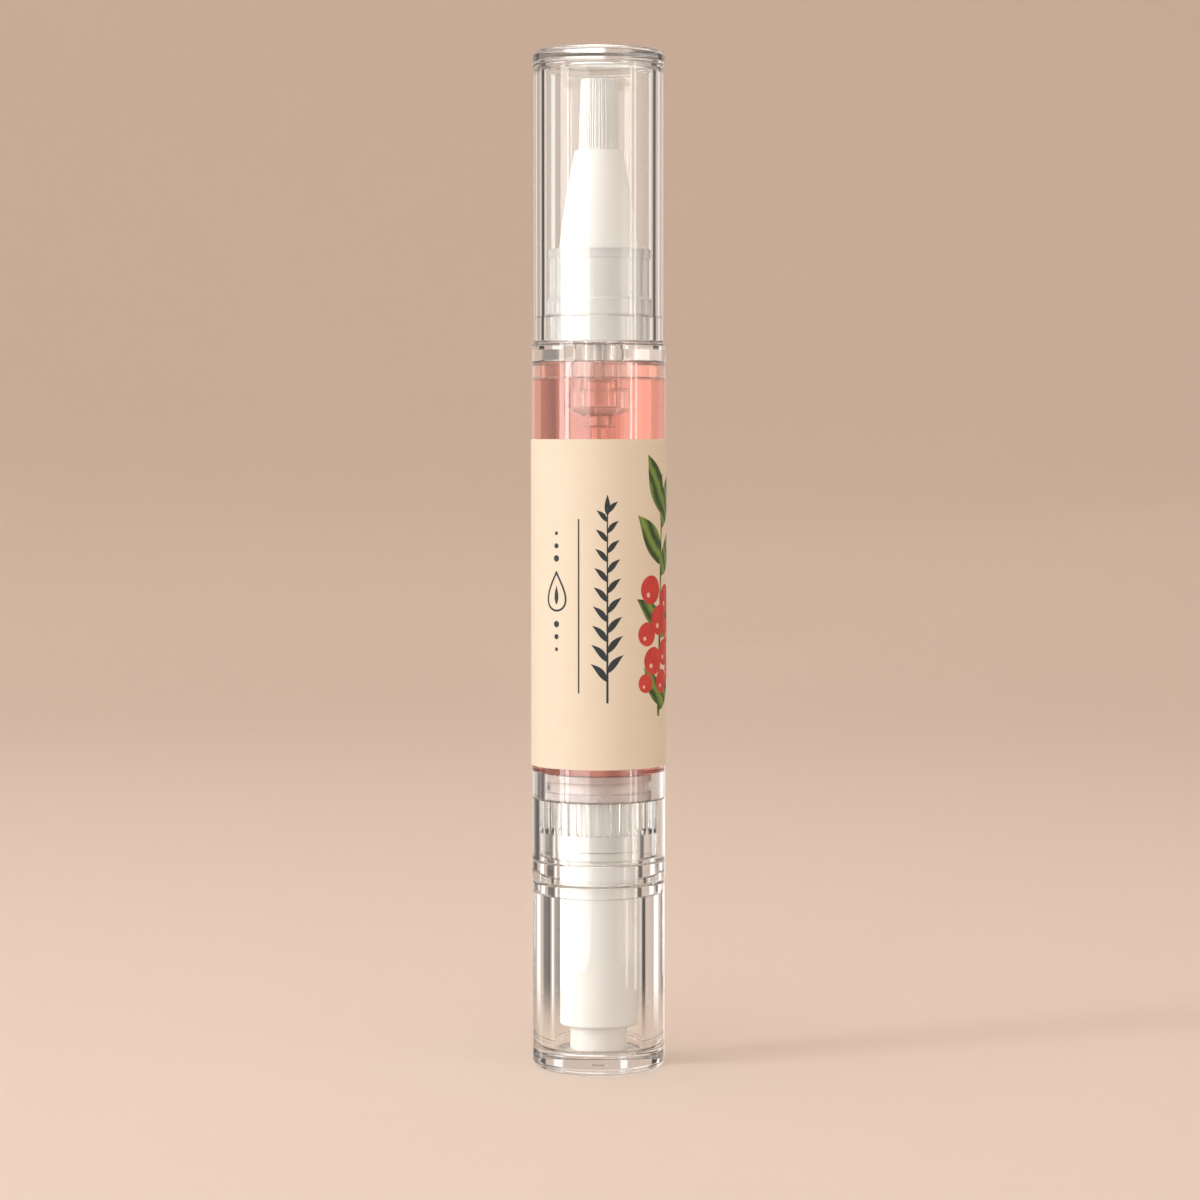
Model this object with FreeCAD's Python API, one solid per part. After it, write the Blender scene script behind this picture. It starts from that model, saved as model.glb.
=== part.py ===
import FreeCAD, Part
import math
import os

# Nail oil pen with a twist-up piston, standing on its turning knob with the cap on.
# Millimetres, +Z up, origin at the centre of the foot. All pieces are stacked along one axis.

# Fits shared by the whole pen
overrun = 1.0  # how far a cutting tool runs past the face that it cuts
seat_gap = 0.03  # between pieces that are pressed or seated together
run_gap = 0.1  # between round pieces that turn or slide in each other
edge_round = 0.15  # broken edges of the moulded pieces
full_turn = 360.0

# Knob: thick clear shell that is turned by hand
knob_step = 0.05  # how far the knob stands back from the barrel's outside
knob_height = 19.75
knob_floor = 2.0
knob_foot_round = 0.9
knob_foot_width = 2.55
knob_floor_round = 0.5
knob_recess_depth = 0.4
knob_gate_r = 0.7
knob_gate_height = 0.2
knob_groove_z = 2.4
knob_groove_height = 0.4
knob_groove_depth = 0.12
knob_grip_height = 1.45
knob_key_r = 1.5  # key on the knob's floor that turns the core
knob_key_flat = 1.1
knob_key_height = 0.6
knob_running_gap = 0.2

# Lead screw: left-hand rounded thread with two flats, so that it slides but can't turn
screw_lead = 2.0
screw_depth_share = 0.26  # of the screw's radius, as are the three below
screw_flat_share = 0.71
button_share = 0.68
button_neck_share = 0.47
screw_thread_gap = 0.14
screw_foot_gap = 0.4
screw_bore_gap = 0.5
button_height = 0.9
button_neck_height = 0.9

# Drive nut, keyed in the drive core
nut_wall = 0.5
nut_height = 2.95
nut_flat_depth = 0.4

# Drive core: white sleeve that carries the nut and the pawls and is pressed into the knob.
# Its collar is a low bead that snaps in past the housing's shoulder and holds the knob on.
core_step = 0.3  # how far the core's outside stands back from the housing's bore
core_foot_round = 0.35
core_foot_wall = 0.76
core_foot_height = 2.6
core_foot_floor = 1.2
core_window_gap = 0.53
core_neck_wall = 0.45
core_neck_flat_depth = 0.2
core_collar_height = 0.85

# Pawl ring and ratchet ring, which give the clicks
pawl_band = 0.3
pawl_slot = 0.23
pawl_arm = 0.25
pawl_reach = 0.26
pawl_height = 1.5
pawl_lift = 0.1
pawl_count = 2
pawl_arm_deg = 70.0
pawl_root_deg = 14.0
pawl_tip_deg = 5.0
pawl_clear_deg = 1.2
ratchet_count = 16
ratchet_depth = 0.3
ratchet_wall = 0.26
ratchet_height = 1.7
ratchet_tip_gap = 0.13

# Insert housing: ribbed sleeve in the barrel's lower end, with a flange under the barrel
flange_proud = 0.02  # how far the housing's and the collar's flanges stand proud of the barrel
housing_wall = 1.87
housing_flange_height = 2.11
housing_shoulder = 0.15
housing_sleeve_height = 6.39
rib_height = 3.4
rib_count = 40
rib_groove_r = 0.26
guide_height = 1.9
guide_skirt = 0.42

# Barrel
barrel_r = 7.0
barrel_wall = 1.4
barrel_length = 52.12
barrel_socket_wall = 0.7

# Piston
piston_height = 2.7
piston_gap = 0.05
piston_lip_height = 0.75
piston_waist = 0.35
piston_lip_wall = 0.8
piston_cup_depth = 1.15  # ring-shaped cup in the piston's top, round a boss over the screw's button
piston_boss_wall = 0.58
piston_crown = 0.4
piston_rest_gap = 0.08

# Paper label round the barrel
label_offset = 9.99
label_length = 34.15
label_thickness = 0.12
label_glue = 0.01
label_seam = 0.4

# Cap, and the collar that it pushes on to
cap_step = 0.2  # how far the cap stands back from the barrel's outside
cap_wall = 1.16
cap_top = 1.6
cap_lip_step = 0.08
cap_lip_height = 1.6
cap_lip_round = 0.5
cap_groove_height = 0.25
cap_groove_depth = 0.12
cap_ceiling_round = 0.6
cap_mouth_height = 2.6
cap_mouth_relief = 0.1
cap_seat_gap = 0.06
cap_headroom = 1.3

collar_flange_height = 2.06
collar_height = 9.66
collar_skirt_height = 1.68  # hollow plug in the barrel's mouth
collar_skirt_wall = 0.7
collar_bead_z = 2.66
collar_bead_height = 2.0
collar_bead_depth = 0.24
collar_rim_height = 1.0
collar_rim_step = 0.12
collar_wall = 1.41

# Brush nozzle and brush
nozzle_shank_wall = 0.9
nozzle_shank_gap = 0.15
nozzle_seat_lip = 0.28
nozzle_height = 10.3
nozzle_bulge = 0.125
nozzle_tip_wall = 0.3
nozzle_socket_depth = 7.6
nozzle_floor_depth = 11.6
brush_r = 2.15
brush_tip_r = 1.89
brush_show = 7.4
brush_tip_round = 0.25

# Feed tube, flow reducer and dip tube, which carry the oil up to the brush
feed_r = 0.7
feed_bore_r = 0.4
feed_seat_depth = 1.5
feed_reach = 6.4
reducer_stem_r = 1.8
reducer_stem_height = 1.82
reducer_neck_r = 2.0
reducer_neck_height = 2.73
reducer_bulb_r = 2.37
reducer_bulb_height = 2.25
reducer_bulb_round = 0.7
reducer_shoulder_round = 0.3
reducer_funnel_height = 0.55
reducer_nipple_r = 1.21
reducer_nipple_round = 0.25
reducer_nipple_height = 1.23
reducer_chamber_r = 1.28
reducer_chamber_height = 2.9
reducer_chamber_lift = 0.3
reducer_chamber_round = 0.3
dip_r = 0.87
dip_bore_r = 0.5
dip_length = 16.2
dip_seat_depth = 1.4
oil_gap = 0.03

# Radii that follow from the sizes above
axis_z = FreeCAD.Vector(0, 0, 1)
centre = FreeCAD.Vector(0, 0, 0)
flange_r = barrel_r + flange_proud
barrel_bore_r = barrel_r - barrel_wall
skirt_r = barrel_bore_r - seat_gap
skirt_bore_r = skirt_r - collar_skirt_wall
barrel_socket_r = barrel_r - barrel_socket_wall
sleeve_r = barrel_socket_r - seat_gap
housing_bore_r = sleeve_r - housing_wall
ratchet_r = housing_bore_r - seat_gap
ratchet_root_r = ratchet_r - ratchet_wall
ratchet_tip_r = ratchet_root_r - ratchet_depth
pawl_arm_r = ratchet_tip_r - ratchet_tip_gap - pawl_arm
pawl_tip_r = pawl_arm_r + pawl_arm + pawl_reach
pawl_bore_r = pawl_arm_r - pawl_slot - pawl_band
core_r = housing_bore_r - core_step
core_collar_r = housing_bore_r - run_gap
core_neck_r = pawl_bore_r - seat_gap
core_neck_flat = core_neck_r - core_neck_flat_depth
nut_r = core_neck_r - core_neck_wall - seat_gap
nut_flat = nut_r - nut_flat_depth
screw_r = nut_r - nut_wall - screw_thread_gap
screw_flat = screw_r * screw_flat_share
thread_shift = screw_r * screw_depth_share / 2
button_r = screw_r * button_share
button_neck_r = screw_r * button_neck_share
piston_lip_r = barrel_bore_r - piston_gap
piston_cup_r = piston_lip_r - piston_lip_wall
piston_boss_r = button_r + seat_gap + piston_boss_wall
core_bore_r = screw_r + screw_bore_gap
core_foot_r = core_bore_r + core_foot_wall
knob_r = barrel_r - knob_step
knob_recess_r = knob_r - knob_foot_width
knob_bore_r = core_r + core_window_gap
cap_r = barrel_r - cap_step
cap_lip_r = cap_r + cap_lip_step
cap_bore_r = cap_r - cap_wall
collar_bead_r = cap_bore_r - run_gap
collar_body_r = collar_bead_r - collar_bead_depth
collar_rim_r = collar_body_r + collar_rim_step
collar_bore_r = collar_body_r - collar_wall
nozzle_shank_r = collar_bore_r - seat_gap
nozzle_base_r = nozzle_shank_r + nozzle_seat_lip
nozzle_socket_r = brush_r + seat_gap
nozzle_tip_r = nozzle_socket_r + nozzle_tip_wall

# Heights that follow, from the foot upwards
flange_z = knob_height + knob_running_gap
barrel_z = flange_z + housing_flange_height
shoulder_z = barrel_z + housing_shoulder
housing_top_z = barrel_z + housing_sleeve_height
core_foot_z = knob_floor + seat_gap
core_floor_z = core_foot_z + core_foot_floor
core_collar_z = shoulder_z + run_gap
core_neck_z = core_collar_z + core_collar_height
nut_z = core_neck_z + seat_gap
core_top_z = nut_z + nut_height
pawl_z = core_neck_z + pawl_lift
ratchet_z = pawl_z - pawl_lift / 2
ratchet_top_z = ratchet_z + ratchet_height
guide_z = housing_top_z - guide_height
piston_z = housing_top_z + piston_rest_gap
piston_top_z = piston_z + piston_height
screw_z = core_floor_z + screw_foot_gap
screw_top_z = piston_z - piston_rest_gap
piston_button_z = screw_top_z + button_neck_height - seat_gap
piston_pocket_z = piston_button_z + button_height + 2 * seat_gap
piston_boss_z = piston_pocket_z + piston_crown
piston_cup_z = piston_top_z - piston_cup_depth
label_z = barrel_z + label_offset
barrel_top_z = barrel_z + barrel_length
skirt_z = barrel_top_z - collar_skirt_height
collar_z = barrel_top_z + collar_flange_height
collar_top_z = collar_z + collar_height
nozzle_tip_z = collar_top_z + nozzle_height
nozzle_socket_z = nozzle_tip_z - nozzle_socket_depth
brush_tip_z = nozzle_tip_z + brush_show
cap_z = collar_z + cap_seat_gap
cap_ceiling_z = brush_tip_z + cap_headroom
cap_top_z = cap_ceiling_z + cap_top
reducer_neck_z = barrel_top_z - reducer_neck_height
reducer_bulb_z = reducer_neck_z - reducer_bulb_height
reducer_funnel_z = reducer_bulb_z - reducer_funnel_height
reducer_z = reducer_funnel_z - reducer_nipple_height
reducer_top_z = barrel_top_z + reducer_stem_height
chamber_z = reducer_bulb_z + reducer_chamber_lift
chamber_top_z = chamber_z + reducer_chamber_height
dip_top_z = reducer_z + dip_seat_depth
dip_z = dip_top_z - dip_length
feed_z = reducer_top_z - feed_seat_depth


def at(radius, height):
    """A point of a turned outline."""
    return FreeCAD.Vector(radius, 0, height)


def corner_arc(before, corner, after, radius):
    """The arc that rounds a corner, as its first, middle and last point."""
    back = (before - corner).normalize()
    ahead = (after - corner).normalize()
    half_angle = back.getAngle(ahead) / 2
    setback = radius / math.tan(half_angle)
    inward = (back + ahead).normalize()
    middle = corner + inward * (radius / math.sin(half_angle) - radius)
    return corner + back * setback, middle, corner + ahead * setback


def outline(points):
    """A closed wire through (radius, height) points. A third value rounds that corner."""
    corners = [at(p[0], p[1]) for p in points]
    ends = []
    edges = []
    for i, point in enumerate(points):
        if len(point) > 2:
            after = corners[(i + 1) % len(points)]
            first, middle, last = corner_arc(corners[i - 1], corners[i], after, point[2])
            edges.append(Part.Arc(first, middle, last).toShape())
            ends.append((first, last))
        else:
            ends.append((corners[i], corners[i]))
    for i, end in enumerate(ends):
        start = ends[i - 1][1]
        if start.distanceToPoint(end[0]) > Part.Precision.confusion():
            edges.append(Part.makeLine(start, end[0]))
    return Part.Wire(Part.__sortEdges__(edges))


def turned(points, degrees=full_turn):
    """The solid that an outline sweeps round the axis."""
    return Part.Face(outline(points)).revolve(centre, axis_z, degrees)


def ring(inner_r, outer_r, low_z, high_z, degrees=full_turn):
    """A plain ring, or a sector of one."""
    return turned([(inner_r, low_z), (outer_r, low_z), (outer_r, high_z), (inner_r, high_z)], degrees)


def rod(radius, low_z, high_z):
    """A plain round bar on the axis."""
    return Part.makeCylinder(radius, high_z - low_z, at(0, low_z))


def double_d(radius, flat, low_z, high_z):
    """A round bar on the axis with two flats that face +X and -X."""
    slab_corner = FreeCAD.Vector(-flat, -radius, low_z)
    slab = Part.makeBox(2 * flat, 2 * radius, high_z - low_z, slab_corner)
    return rod(radius, low_z, high_z).common(slab)


def turned_about_axis(shape, degrees):
    """A copy of the shape, turned round the axis."""
    copy = shape.copy()
    copy.rotate(centre, axis_z, degrees)
    return copy


def thread(radius, low_z, high_z):
    """Left-hand rounded thread: a level circle carried along a thin helix that starts in step with the screw."""
    turns_below = math.floor((low_z - screw_z) / screw_lead)
    start_z = screw_z + turns_below * screw_lead
    helix = Part.makeLongHelix(screw_lead, high_z - start_z, thread_shift, 0, True)
    helix.translate(at(0, start_z))
    circle = Part.Wire(Part.makeCircle(radius - thread_shift, at(thread_shift, start_z), axis_z))
    sweep = Part.BRepOffsetAPI.MakePipeShell(helix)
    sweep.setTrihedronMode(centre, axis_z)
    sweep.add(circle)
    sweep.build()
    sweep.makeSolid()
    return sweep.shape()


def make_knob():
    groove_top_z = knob_groove_z + knob_groove_height
    groove_r = knob_r - knob_groove_depth
    grip_r = core_r + seat_gap
    shell = turned([
        (0, knob_recess_depth - knob_gate_height),
        (knob_gate_r, knob_recess_depth - knob_gate_height),
        (knob_gate_r, knob_recess_depth),
        (knob_recess_r, knob_recess_depth),
        (knob_recess_r, 0),
        (knob_r, 0, knob_foot_round),
        (knob_r, knob_groove_z),
        (groove_r, knob_groove_z),
        (groove_r, groove_top_z),
        (knob_r, groove_top_z),
        (knob_r, knob_height, edge_round),
        (grip_r, knob_height),
        (grip_r, knob_height - knob_grip_height),
        (knob_bore_r, knob_height - knob_grip_height),
        (knob_bore_r, knob_floor, knob_floor_round),
        (0, knob_floor),
    ])
    key = double_d(knob_key_r, knob_key_flat, knob_floor, knob_floor + knob_key_height)
    return shell.fuse(key)


def make_drive_core():
    key_top_z = knob_floor + knob_key_height + seat_gap
    sleeve = turned([
        (0, core_foot_z),
        (core_foot_r, core_foot_z),
        (core_foot_r, core_foot_z + core_foot_height),
        (core_r, core_foot_z + core_foot_height, core_foot_round),
        (core_r, core_collar_z),
        (core_collar_r, core_collar_z),
        (core_collar_r, core_neck_z),
        (0, core_neck_z),
    ])
    neck = double_d(core_neck_r, core_neck_flat, core_neck_z, core_top_z)
    key_seat = double_d(knob_key_r + seat_gap, knob_key_flat + seat_gap, core_foot_z, key_top_z)
    nut_seat = double_d(nut_r + seat_gap, nut_flat + seat_gap, core_neck_z, core_top_z + overrun)
    bore = rod(core_bore_r, core_floor_z, core_top_z)
    return sleeve.fuse(neck).cut([nut_seat, bore, key_seat]).removeSplitter()


def make_drive_nut():
    blank = double_d(nut_r, nut_flat, nut_z, core_top_z)
    return blank.cut(thread(screw_r + screw_thread_gap, nut_z - overrun, core_top_z + overrun))


def make_lead_screw():
    width = 2 * screw_flat
    slab_corner = FreeCAD.Vector(-screw_flat, -screw_r - overrun, screw_z)
    slab = Part.makeBox(width, 2 * (screw_r + overrun), screw_top_z - screw_z, slab_corner)
    shaft = thread(screw_r, screw_z, screw_top_z + screw_lead).common(slab)
    neck_top_z = screw_top_z + button_neck_height
    neck = rod(button_neck_r, screw_top_z - screw_lead, neck_top_z)
    button = rod(button_r, neck_top_z, neck_top_z + button_height)
    return shaft.fuse([neck, button])


def make_pawl_ring():
    top_z = pawl_z + pawl_height
    band = ring(core_neck_flat, pawl_bore_r + pawl_band, pawl_z, top_z)
    key = double_d(pawl_bore_r, core_neck_flat + seat_gap, pawl_z - overrun, top_z + overrun)
    arms = []
    for i in range(pawl_count):
        start = i * full_turn / pawl_count
        arm = ring(pawl_arm_r, pawl_arm_r + pawl_arm, pawl_z, top_z, pawl_arm_deg)
        root = ring(pawl_bore_r, pawl_arm_r + pawl_arm, pawl_z, top_z, pawl_root_deg)
        tip = ring(pawl_arm_r, pawl_tip_r, pawl_z, top_z, pawl_tip_deg)
        arms.append(turned_about_axis(tip, start + pawl_clear_deg))
        arms.append(turned_about_axis(arm, start + pawl_clear_deg))
        arms.append(turned_about_axis(root, start + pawl_clear_deg + pawl_arm_deg - pawl_root_deg))
    return band.fuse(arms).cut(key).removeSplitter()


def make_ratchet_ring():
    blank = ring(ratchet_tip_r, ratchet_r, ratchet_z, ratchet_top_z)
    corners = []
    for i in range(ratchet_count):
        angle = math.radians(i * full_turn / ratchet_count)
        for radius in (ratchet_tip_r, ratchet_root_r):
            corners.append(FreeCAD.Vector(radius * math.cos(angle), radius * math.sin(angle), ratchet_z))
    star = Part.Face(Part.makePolygon(corners + corners[:1]))
    return blank.cut(star.extrude(axis_z * ratchet_height))


def make_insert_housing():
    body = turned([
        (core_r + run_gap, flange_z),
        (flange_r, flange_z, edge_round),
        (flange_r, barrel_z - seat_gap, edge_round),
        (sleeve_r, barrel_z - seat_gap),
        (sleeve_r, housing_top_z, edge_round),
        (housing_bore_r, housing_top_z),
        (housing_bore_r, shoulder_z),
        (core_r + run_gap, shoulder_z),
    ])
    groove = Part.makeCylinder(rib_groove_r, rib_height + overrun, at(sleeve_r, housing_top_z - rib_height))
    grooves = [turned_about_axis(groove, i * full_turn / rib_count) for i in range(rib_count)]
    return body.cut(grooves)


def make_screw_guide():
    guide_r = housing_bore_r - seat_gap
    disc = rod(guide_r, guide_z, housing_top_z)
    skirt = ring(guide_r - guide_skirt, guide_r, ratchet_top_z + seat_gap, guide_z)
    hole = double_d(screw_r + run_gap, screw_flat + run_gap, guide_z - overrun, housing_top_z + overrun)
    return disc.fuse(skirt).cut(hole)


def make_piston():
    waist_r = piston_lip_r - piston_waist
    return turned([
        (button_neck_r + seat_gap, piston_z),
        (piston_lip_r, piston_z, edge_round),
        (piston_lip_r, piston_z + piston_lip_height),
        (waist_r, piston_z + piston_lip_height, edge_round),
        (waist_r, piston_top_z - piston_lip_height, edge_round),
        (piston_lip_r, piston_top_z - piston_lip_height),
        (piston_lip_r, piston_top_z, edge_round),
        (piston_cup_r, piston_top_z, edge_round),
        (piston_cup_r, piston_cup_z),
        (piston_boss_r, piston_cup_z),
        (piston_boss_r, piston_boss_z),
        (0, piston_boss_z),
        (0, piston_pocket_z),
        (button_r + seat_gap, piston_pocket_z),
        (button_r + seat_gap, piston_button_z),
        (button_neck_r + seat_gap, piston_button_z),
    ])


def make_barrel():
    socket_top_z = housing_top_z + seat_gap
    return turned([
        (barrel_socket_r, barrel_z),
        (barrel_r, barrel_z, edge_round),
        (barrel_r, barrel_top_z, edge_round),
        (barrel_bore_r, barrel_top_z),
        (barrel_bore_r, socket_top_z),
        (barrel_socket_r, socket_top_z),
    ])


def make_label():
    inner_r = barrel_r + label_glue
    outer_r = inner_r + label_thickness
    wrap = ring(inner_r, outer_r, label_z, label_z + label_length)
    seam_corner = FreeCAD.Vector(-label_seam / 2, 0, label_z - overrun)
    seam = Part.makeBox(label_seam, outer_r + overrun, label_length + 2 * overrun, seam_corner)
    return wrap.cut(seam)


def make_oil():
    fill_r = barrel_bore_r - oil_gap
    skirt_fill_r = skirt_bore_r - oil_gap
    neck_r = reducer_neck_r + oil_gap
    bulb_r = reducer_bulb_r + oil_gap
    nipple_r = reducer_nipple_r + oil_gap
    tube_r = dip_r + oil_gap
    cup_r = piston_cup_r - oil_gap
    boss_r = piston_boss_r + oil_gap
    return turned([
        (0, piston_boss_z + oil_gap),
        (boss_r, piston_boss_z + oil_gap),
        (boss_r, piston_cup_z + oil_gap),
        (cup_r, piston_cup_z + oil_gap),
        (cup_r, piston_top_z + oil_gap),
        (fill_r, piston_top_z + oil_gap),
        (fill_r, skirt_z - oil_gap),
        (skirt_fill_r, skirt_z - oil_gap),
        (skirt_fill_r, barrel_top_z),
        (neck_r, barrel_top_z),
        (neck_r, reducer_neck_z + oil_gap),
        (bulb_r, reducer_neck_z + oil_gap, reducer_shoulder_round),
        (bulb_r, reducer_bulb_z - oil_gap, reducer_bulb_round),
        (nipple_r, reducer_funnel_z - oil_gap),
        (nipple_r, reducer_z - oil_gap),
        (tube_r, reducer_z - oil_gap),
        (tube_r, dip_z - oil_gap),
        (0, dip_z - oil_gap),
    ])


def make_collar():
    bead_z = collar_z + collar_bead_z
    rim_z = collar_top_z - collar_rim_height
    return turned([
        (reducer_stem_r + seat_gap, barrel_top_z + seat_gap),
        (skirt_bore_r, barrel_top_z + seat_gap),
        (skirt_bore_r, skirt_z),
        (skirt_r, skirt_z, edge_round),
        (skirt_r, barrel_top_z + seat_gap),
        (flange_r, barrel_top_z + seat_gap, edge_round),
        (flange_r, collar_z, edge_round),
        (collar_body_r, collar_z),
        (collar_body_r, bead_z),
        (collar_bead_r, bead_z + collar_bead_depth, edge_round),
        (collar_bead_r, bead_z + collar_bead_height - collar_bead_depth, edge_round),
        (collar_body_r, bead_z + collar_bead_height),
        (collar_body_r, rim_z),
        (collar_rim_r, rim_z),
        (collar_rim_r, collar_top_z, edge_round),
        (collar_bore_r, collar_top_z),
        (collar_bore_r, collar_z),
        (reducer_stem_r + seat_gap, collar_z),
    ])


def make_brush_nozzle():
    base_z = collar_top_z + seat_gap
    bulge_r = (nozzle_base_r + nozzle_tip_r) / 2 + nozzle_bulge
    base = at(nozzle_base_r, base_z)
    middle = at(bulge_r, (base_z + nozzle_tip_z) / 2)
    tip = at(nozzle_tip_r, nozzle_tip_z)
    flank = Part.Arc(base, middle, tip).toShape()
    close = Part.makePolygon([tip, at(0, nozzle_tip_z), at(0, base_z), base])
    cone = Part.Face(Part.Wire([flank] + close.Edges)).revolve(centre, axis_z, full_turn)
    shank_z = collar_z + nozzle_shank_gap
    floor_z = nozzle_tip_z - nozzle_floor_depth
    shank = rod(nozzle_shank_r, shank_z, base_z)
    hollow = rod(nozzle_shank_r - nozzle_shank_wall, shank_z - overrun, floor_z)
    passage = rod(feed_r + seat_gap, shank_z, nozzle_tip_z)
    socket = rod(nozzle_socket_r, nozzle_socket_z, nozzle_tip_z + overrun)
    return cone.fuse(shank).cut([hollow, passage, socket])


def make_brush():
    root_z = nozzle_socket_z + seat_gap
    feed_top_z = nozzle_socket_z + feed_reach + seat_gap
    return turned([
        (feed_r + seat_gap, root_z),
        (brush_r, root_z),
        (brush_r, nozzle_tip_z),
        (brush_tip_r, brush_tip_z, brush_tip_round),
        (0, brush_tip_z),
        (0, feed_top_z),
        (feed_r + seat_gap, feed_top_z),
    ])


def make_feed_tube():
    return ring(feed_bore_r, feed_r, feed_z, nozzle_socket_z + feed_reach)


def make_flow_reducer():
    feed_seat_r = feed_r + seat_gap
    dip_seat_r = dip_r + seat_gap
    return turned([
        (dip_seat_r, reducer_z),
        (reducer_nipple_r, reducer_z, reducer_nipple_round),
        (reducer_nipple_r, reducer_funnel_z),
        (reducer_bulb_r, reducer_bulb_z, reducer_bulb_round),
        (reducer_bulb_r, reducer_neck_z, reducer_shoulder_round),
        (reducer_neck_r, reducer_neck_z),
        (reducer_neck_r, barrel_top_z),
        (reducer_stem_r, barrel_top_z),
        (reducer_stem_r, reducer_top_z),
        (feed_seat_r, reducer_top_z),
        (feed_seat_r, feed_z - seat_gap),
        (feed_bore_r, feed_z - seat_gap),
        (feed_bore_r, chamber_top_z),
        (reducer_chamber_r, chamber_top_z, reducer_chamber_round),
        (reducer_chamber_r, chamber_z),
        (feed_bore_r, chamber_z),
        (feed_bore_r, dip_top_z + seat_gap),
        (dip_seat_r, dip_top_z + seat_gap),
    ])


def make_dip_tube():
    return ring(dip_bore_r, dip_r, dip_z, dip_top_z)


def make_cap():
    lip_z = cap_top_z - cap_lip_height
    mouth_r = cap_bore_r + cap_mouth_relief
    groove_r = cap_r - cap_groove_depth
    return turned([
        (mouth_r, cap_z),
        (cap_r, cap_z, edge_round),
        (cap_r, lip_z - cap_groove_height),
        (groove_r, lip_z - cap_groove_height),
        (groove_r, lip_z),
        (cap_lip_r, lip_z),
        (cap_lip_r, cap_top_z, cap_lip_round),
        (0, cap_top_z),
        (0, cap_ceiling_z),
        (cap_bore_r, cap_ceiling_z, cap_ceiling_round),
        (cap_bore_r, cap_z + cap_mouth_height),
        (mouth_r, cap_z + cap_mouth_height),
    ])


pieces = {
    "knob": make_knob(),
    "drive_core": make_drive_core(),
    "drive_nut": make_drive_nut(),
    "lead_screw": make_lead_screw(),
    "pawl_ring": make_pawl_ring(),
    "ratchet_ring": make_ratchet_ring(),
    "insert_housing": make_insert_housing(),
    "screw_guide": make_screw_guide(),
    "piston": make_piston(),
    "barrel": make_barrel(),
    "label": make_label(),
    "oil": make_oil(),
    "collar": make_collar(),
    "brush_nozzle": make_brush_nozzle(),
    "brush": make_brush(),
    "feed_tube": make_feed_tube(),
    "flow_reducer": make_flow_reducer(),
    "dip_tube": make_dip_tube(),
    "cap": make_cap(),
}

os.makedirs("parts", exist_ok=True)
for name, shape in pieces.items():
    shape.exportStep(f"parts/{name}.step")
    print(name, len(shape.Solids), shape.isValid(), round(shape.Volume, 2), shape.BoundBox)
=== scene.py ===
import math
import random

import bpy
from mathutils import Matrix, Vector


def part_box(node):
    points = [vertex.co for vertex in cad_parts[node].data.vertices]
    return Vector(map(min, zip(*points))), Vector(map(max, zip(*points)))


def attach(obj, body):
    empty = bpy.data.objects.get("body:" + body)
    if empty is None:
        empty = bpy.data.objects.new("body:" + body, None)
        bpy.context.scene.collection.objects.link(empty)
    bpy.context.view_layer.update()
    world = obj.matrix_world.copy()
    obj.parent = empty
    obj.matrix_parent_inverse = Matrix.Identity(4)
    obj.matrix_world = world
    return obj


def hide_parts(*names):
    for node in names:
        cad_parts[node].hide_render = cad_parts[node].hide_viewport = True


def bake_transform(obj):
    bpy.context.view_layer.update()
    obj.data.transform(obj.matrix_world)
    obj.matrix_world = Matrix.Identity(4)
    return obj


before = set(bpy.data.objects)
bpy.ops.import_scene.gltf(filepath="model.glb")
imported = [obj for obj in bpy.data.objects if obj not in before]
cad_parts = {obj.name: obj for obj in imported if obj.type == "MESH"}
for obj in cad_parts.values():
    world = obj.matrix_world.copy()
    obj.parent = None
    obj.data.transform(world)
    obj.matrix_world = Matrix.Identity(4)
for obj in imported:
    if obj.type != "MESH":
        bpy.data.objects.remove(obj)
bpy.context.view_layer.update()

# Fineness of the meshes
MM = 0.001
SEGMENTS = 256
RIB_SEGMENTS = 640
ARC_STEPS = 8
HOLD = 0.015  # from a rounded corner to the ring that keeps the wall beside it flat
SHARP_DEG = 30.0
EDGE = 0.15  # broken edges of the moulded pieces
FINE = 0.04  # the smallest moulded corners
TINY = 1e-6

# Cap
CAP_LIP_STEP = 0.08
CAP_LIP_HEIGHT = 1.6
CAP_LIP_ROUND = 0.5
CAP_WALL = 1.16
CAP_TOP = 1.6
CAP_GROOVE_HEIGHT = 0.25
CAP_GROOVE_DEPTH = 0.12
CAP_CEILING_ROUND = 0.6
CAP_MOUTH_HEIGHT = 2.6
CAP_MOUTH_RELIEF = 0.1

# Collar
COLLAR_FLANGE_HEIGHT = 2.06
COLLAR_BODY_R = 5.3
COLLAR_BEAD_R = 5.54
COLLAR_BEAD_Z = 2.66
COLLAR_BEAD_HEIGHT = 2.0
COLLAR_RIM_R = 5.42
COLLAR_RIM_HEIGHT = 1.0
COLLAR_BORE_R = 3.89
COLLAR_SKIRT_WALL = 0.7
STEM_R = 1.83

# Barrel and label
BARREL_WALL = 1.4
BARREL_SOCKET_WALL = 0.7
LABEL_GLUE = 0.01
LABEL_INSET = 0.018  # room under the CAD label's skin for the print
LABEL_SEAM = 0.4

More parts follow.
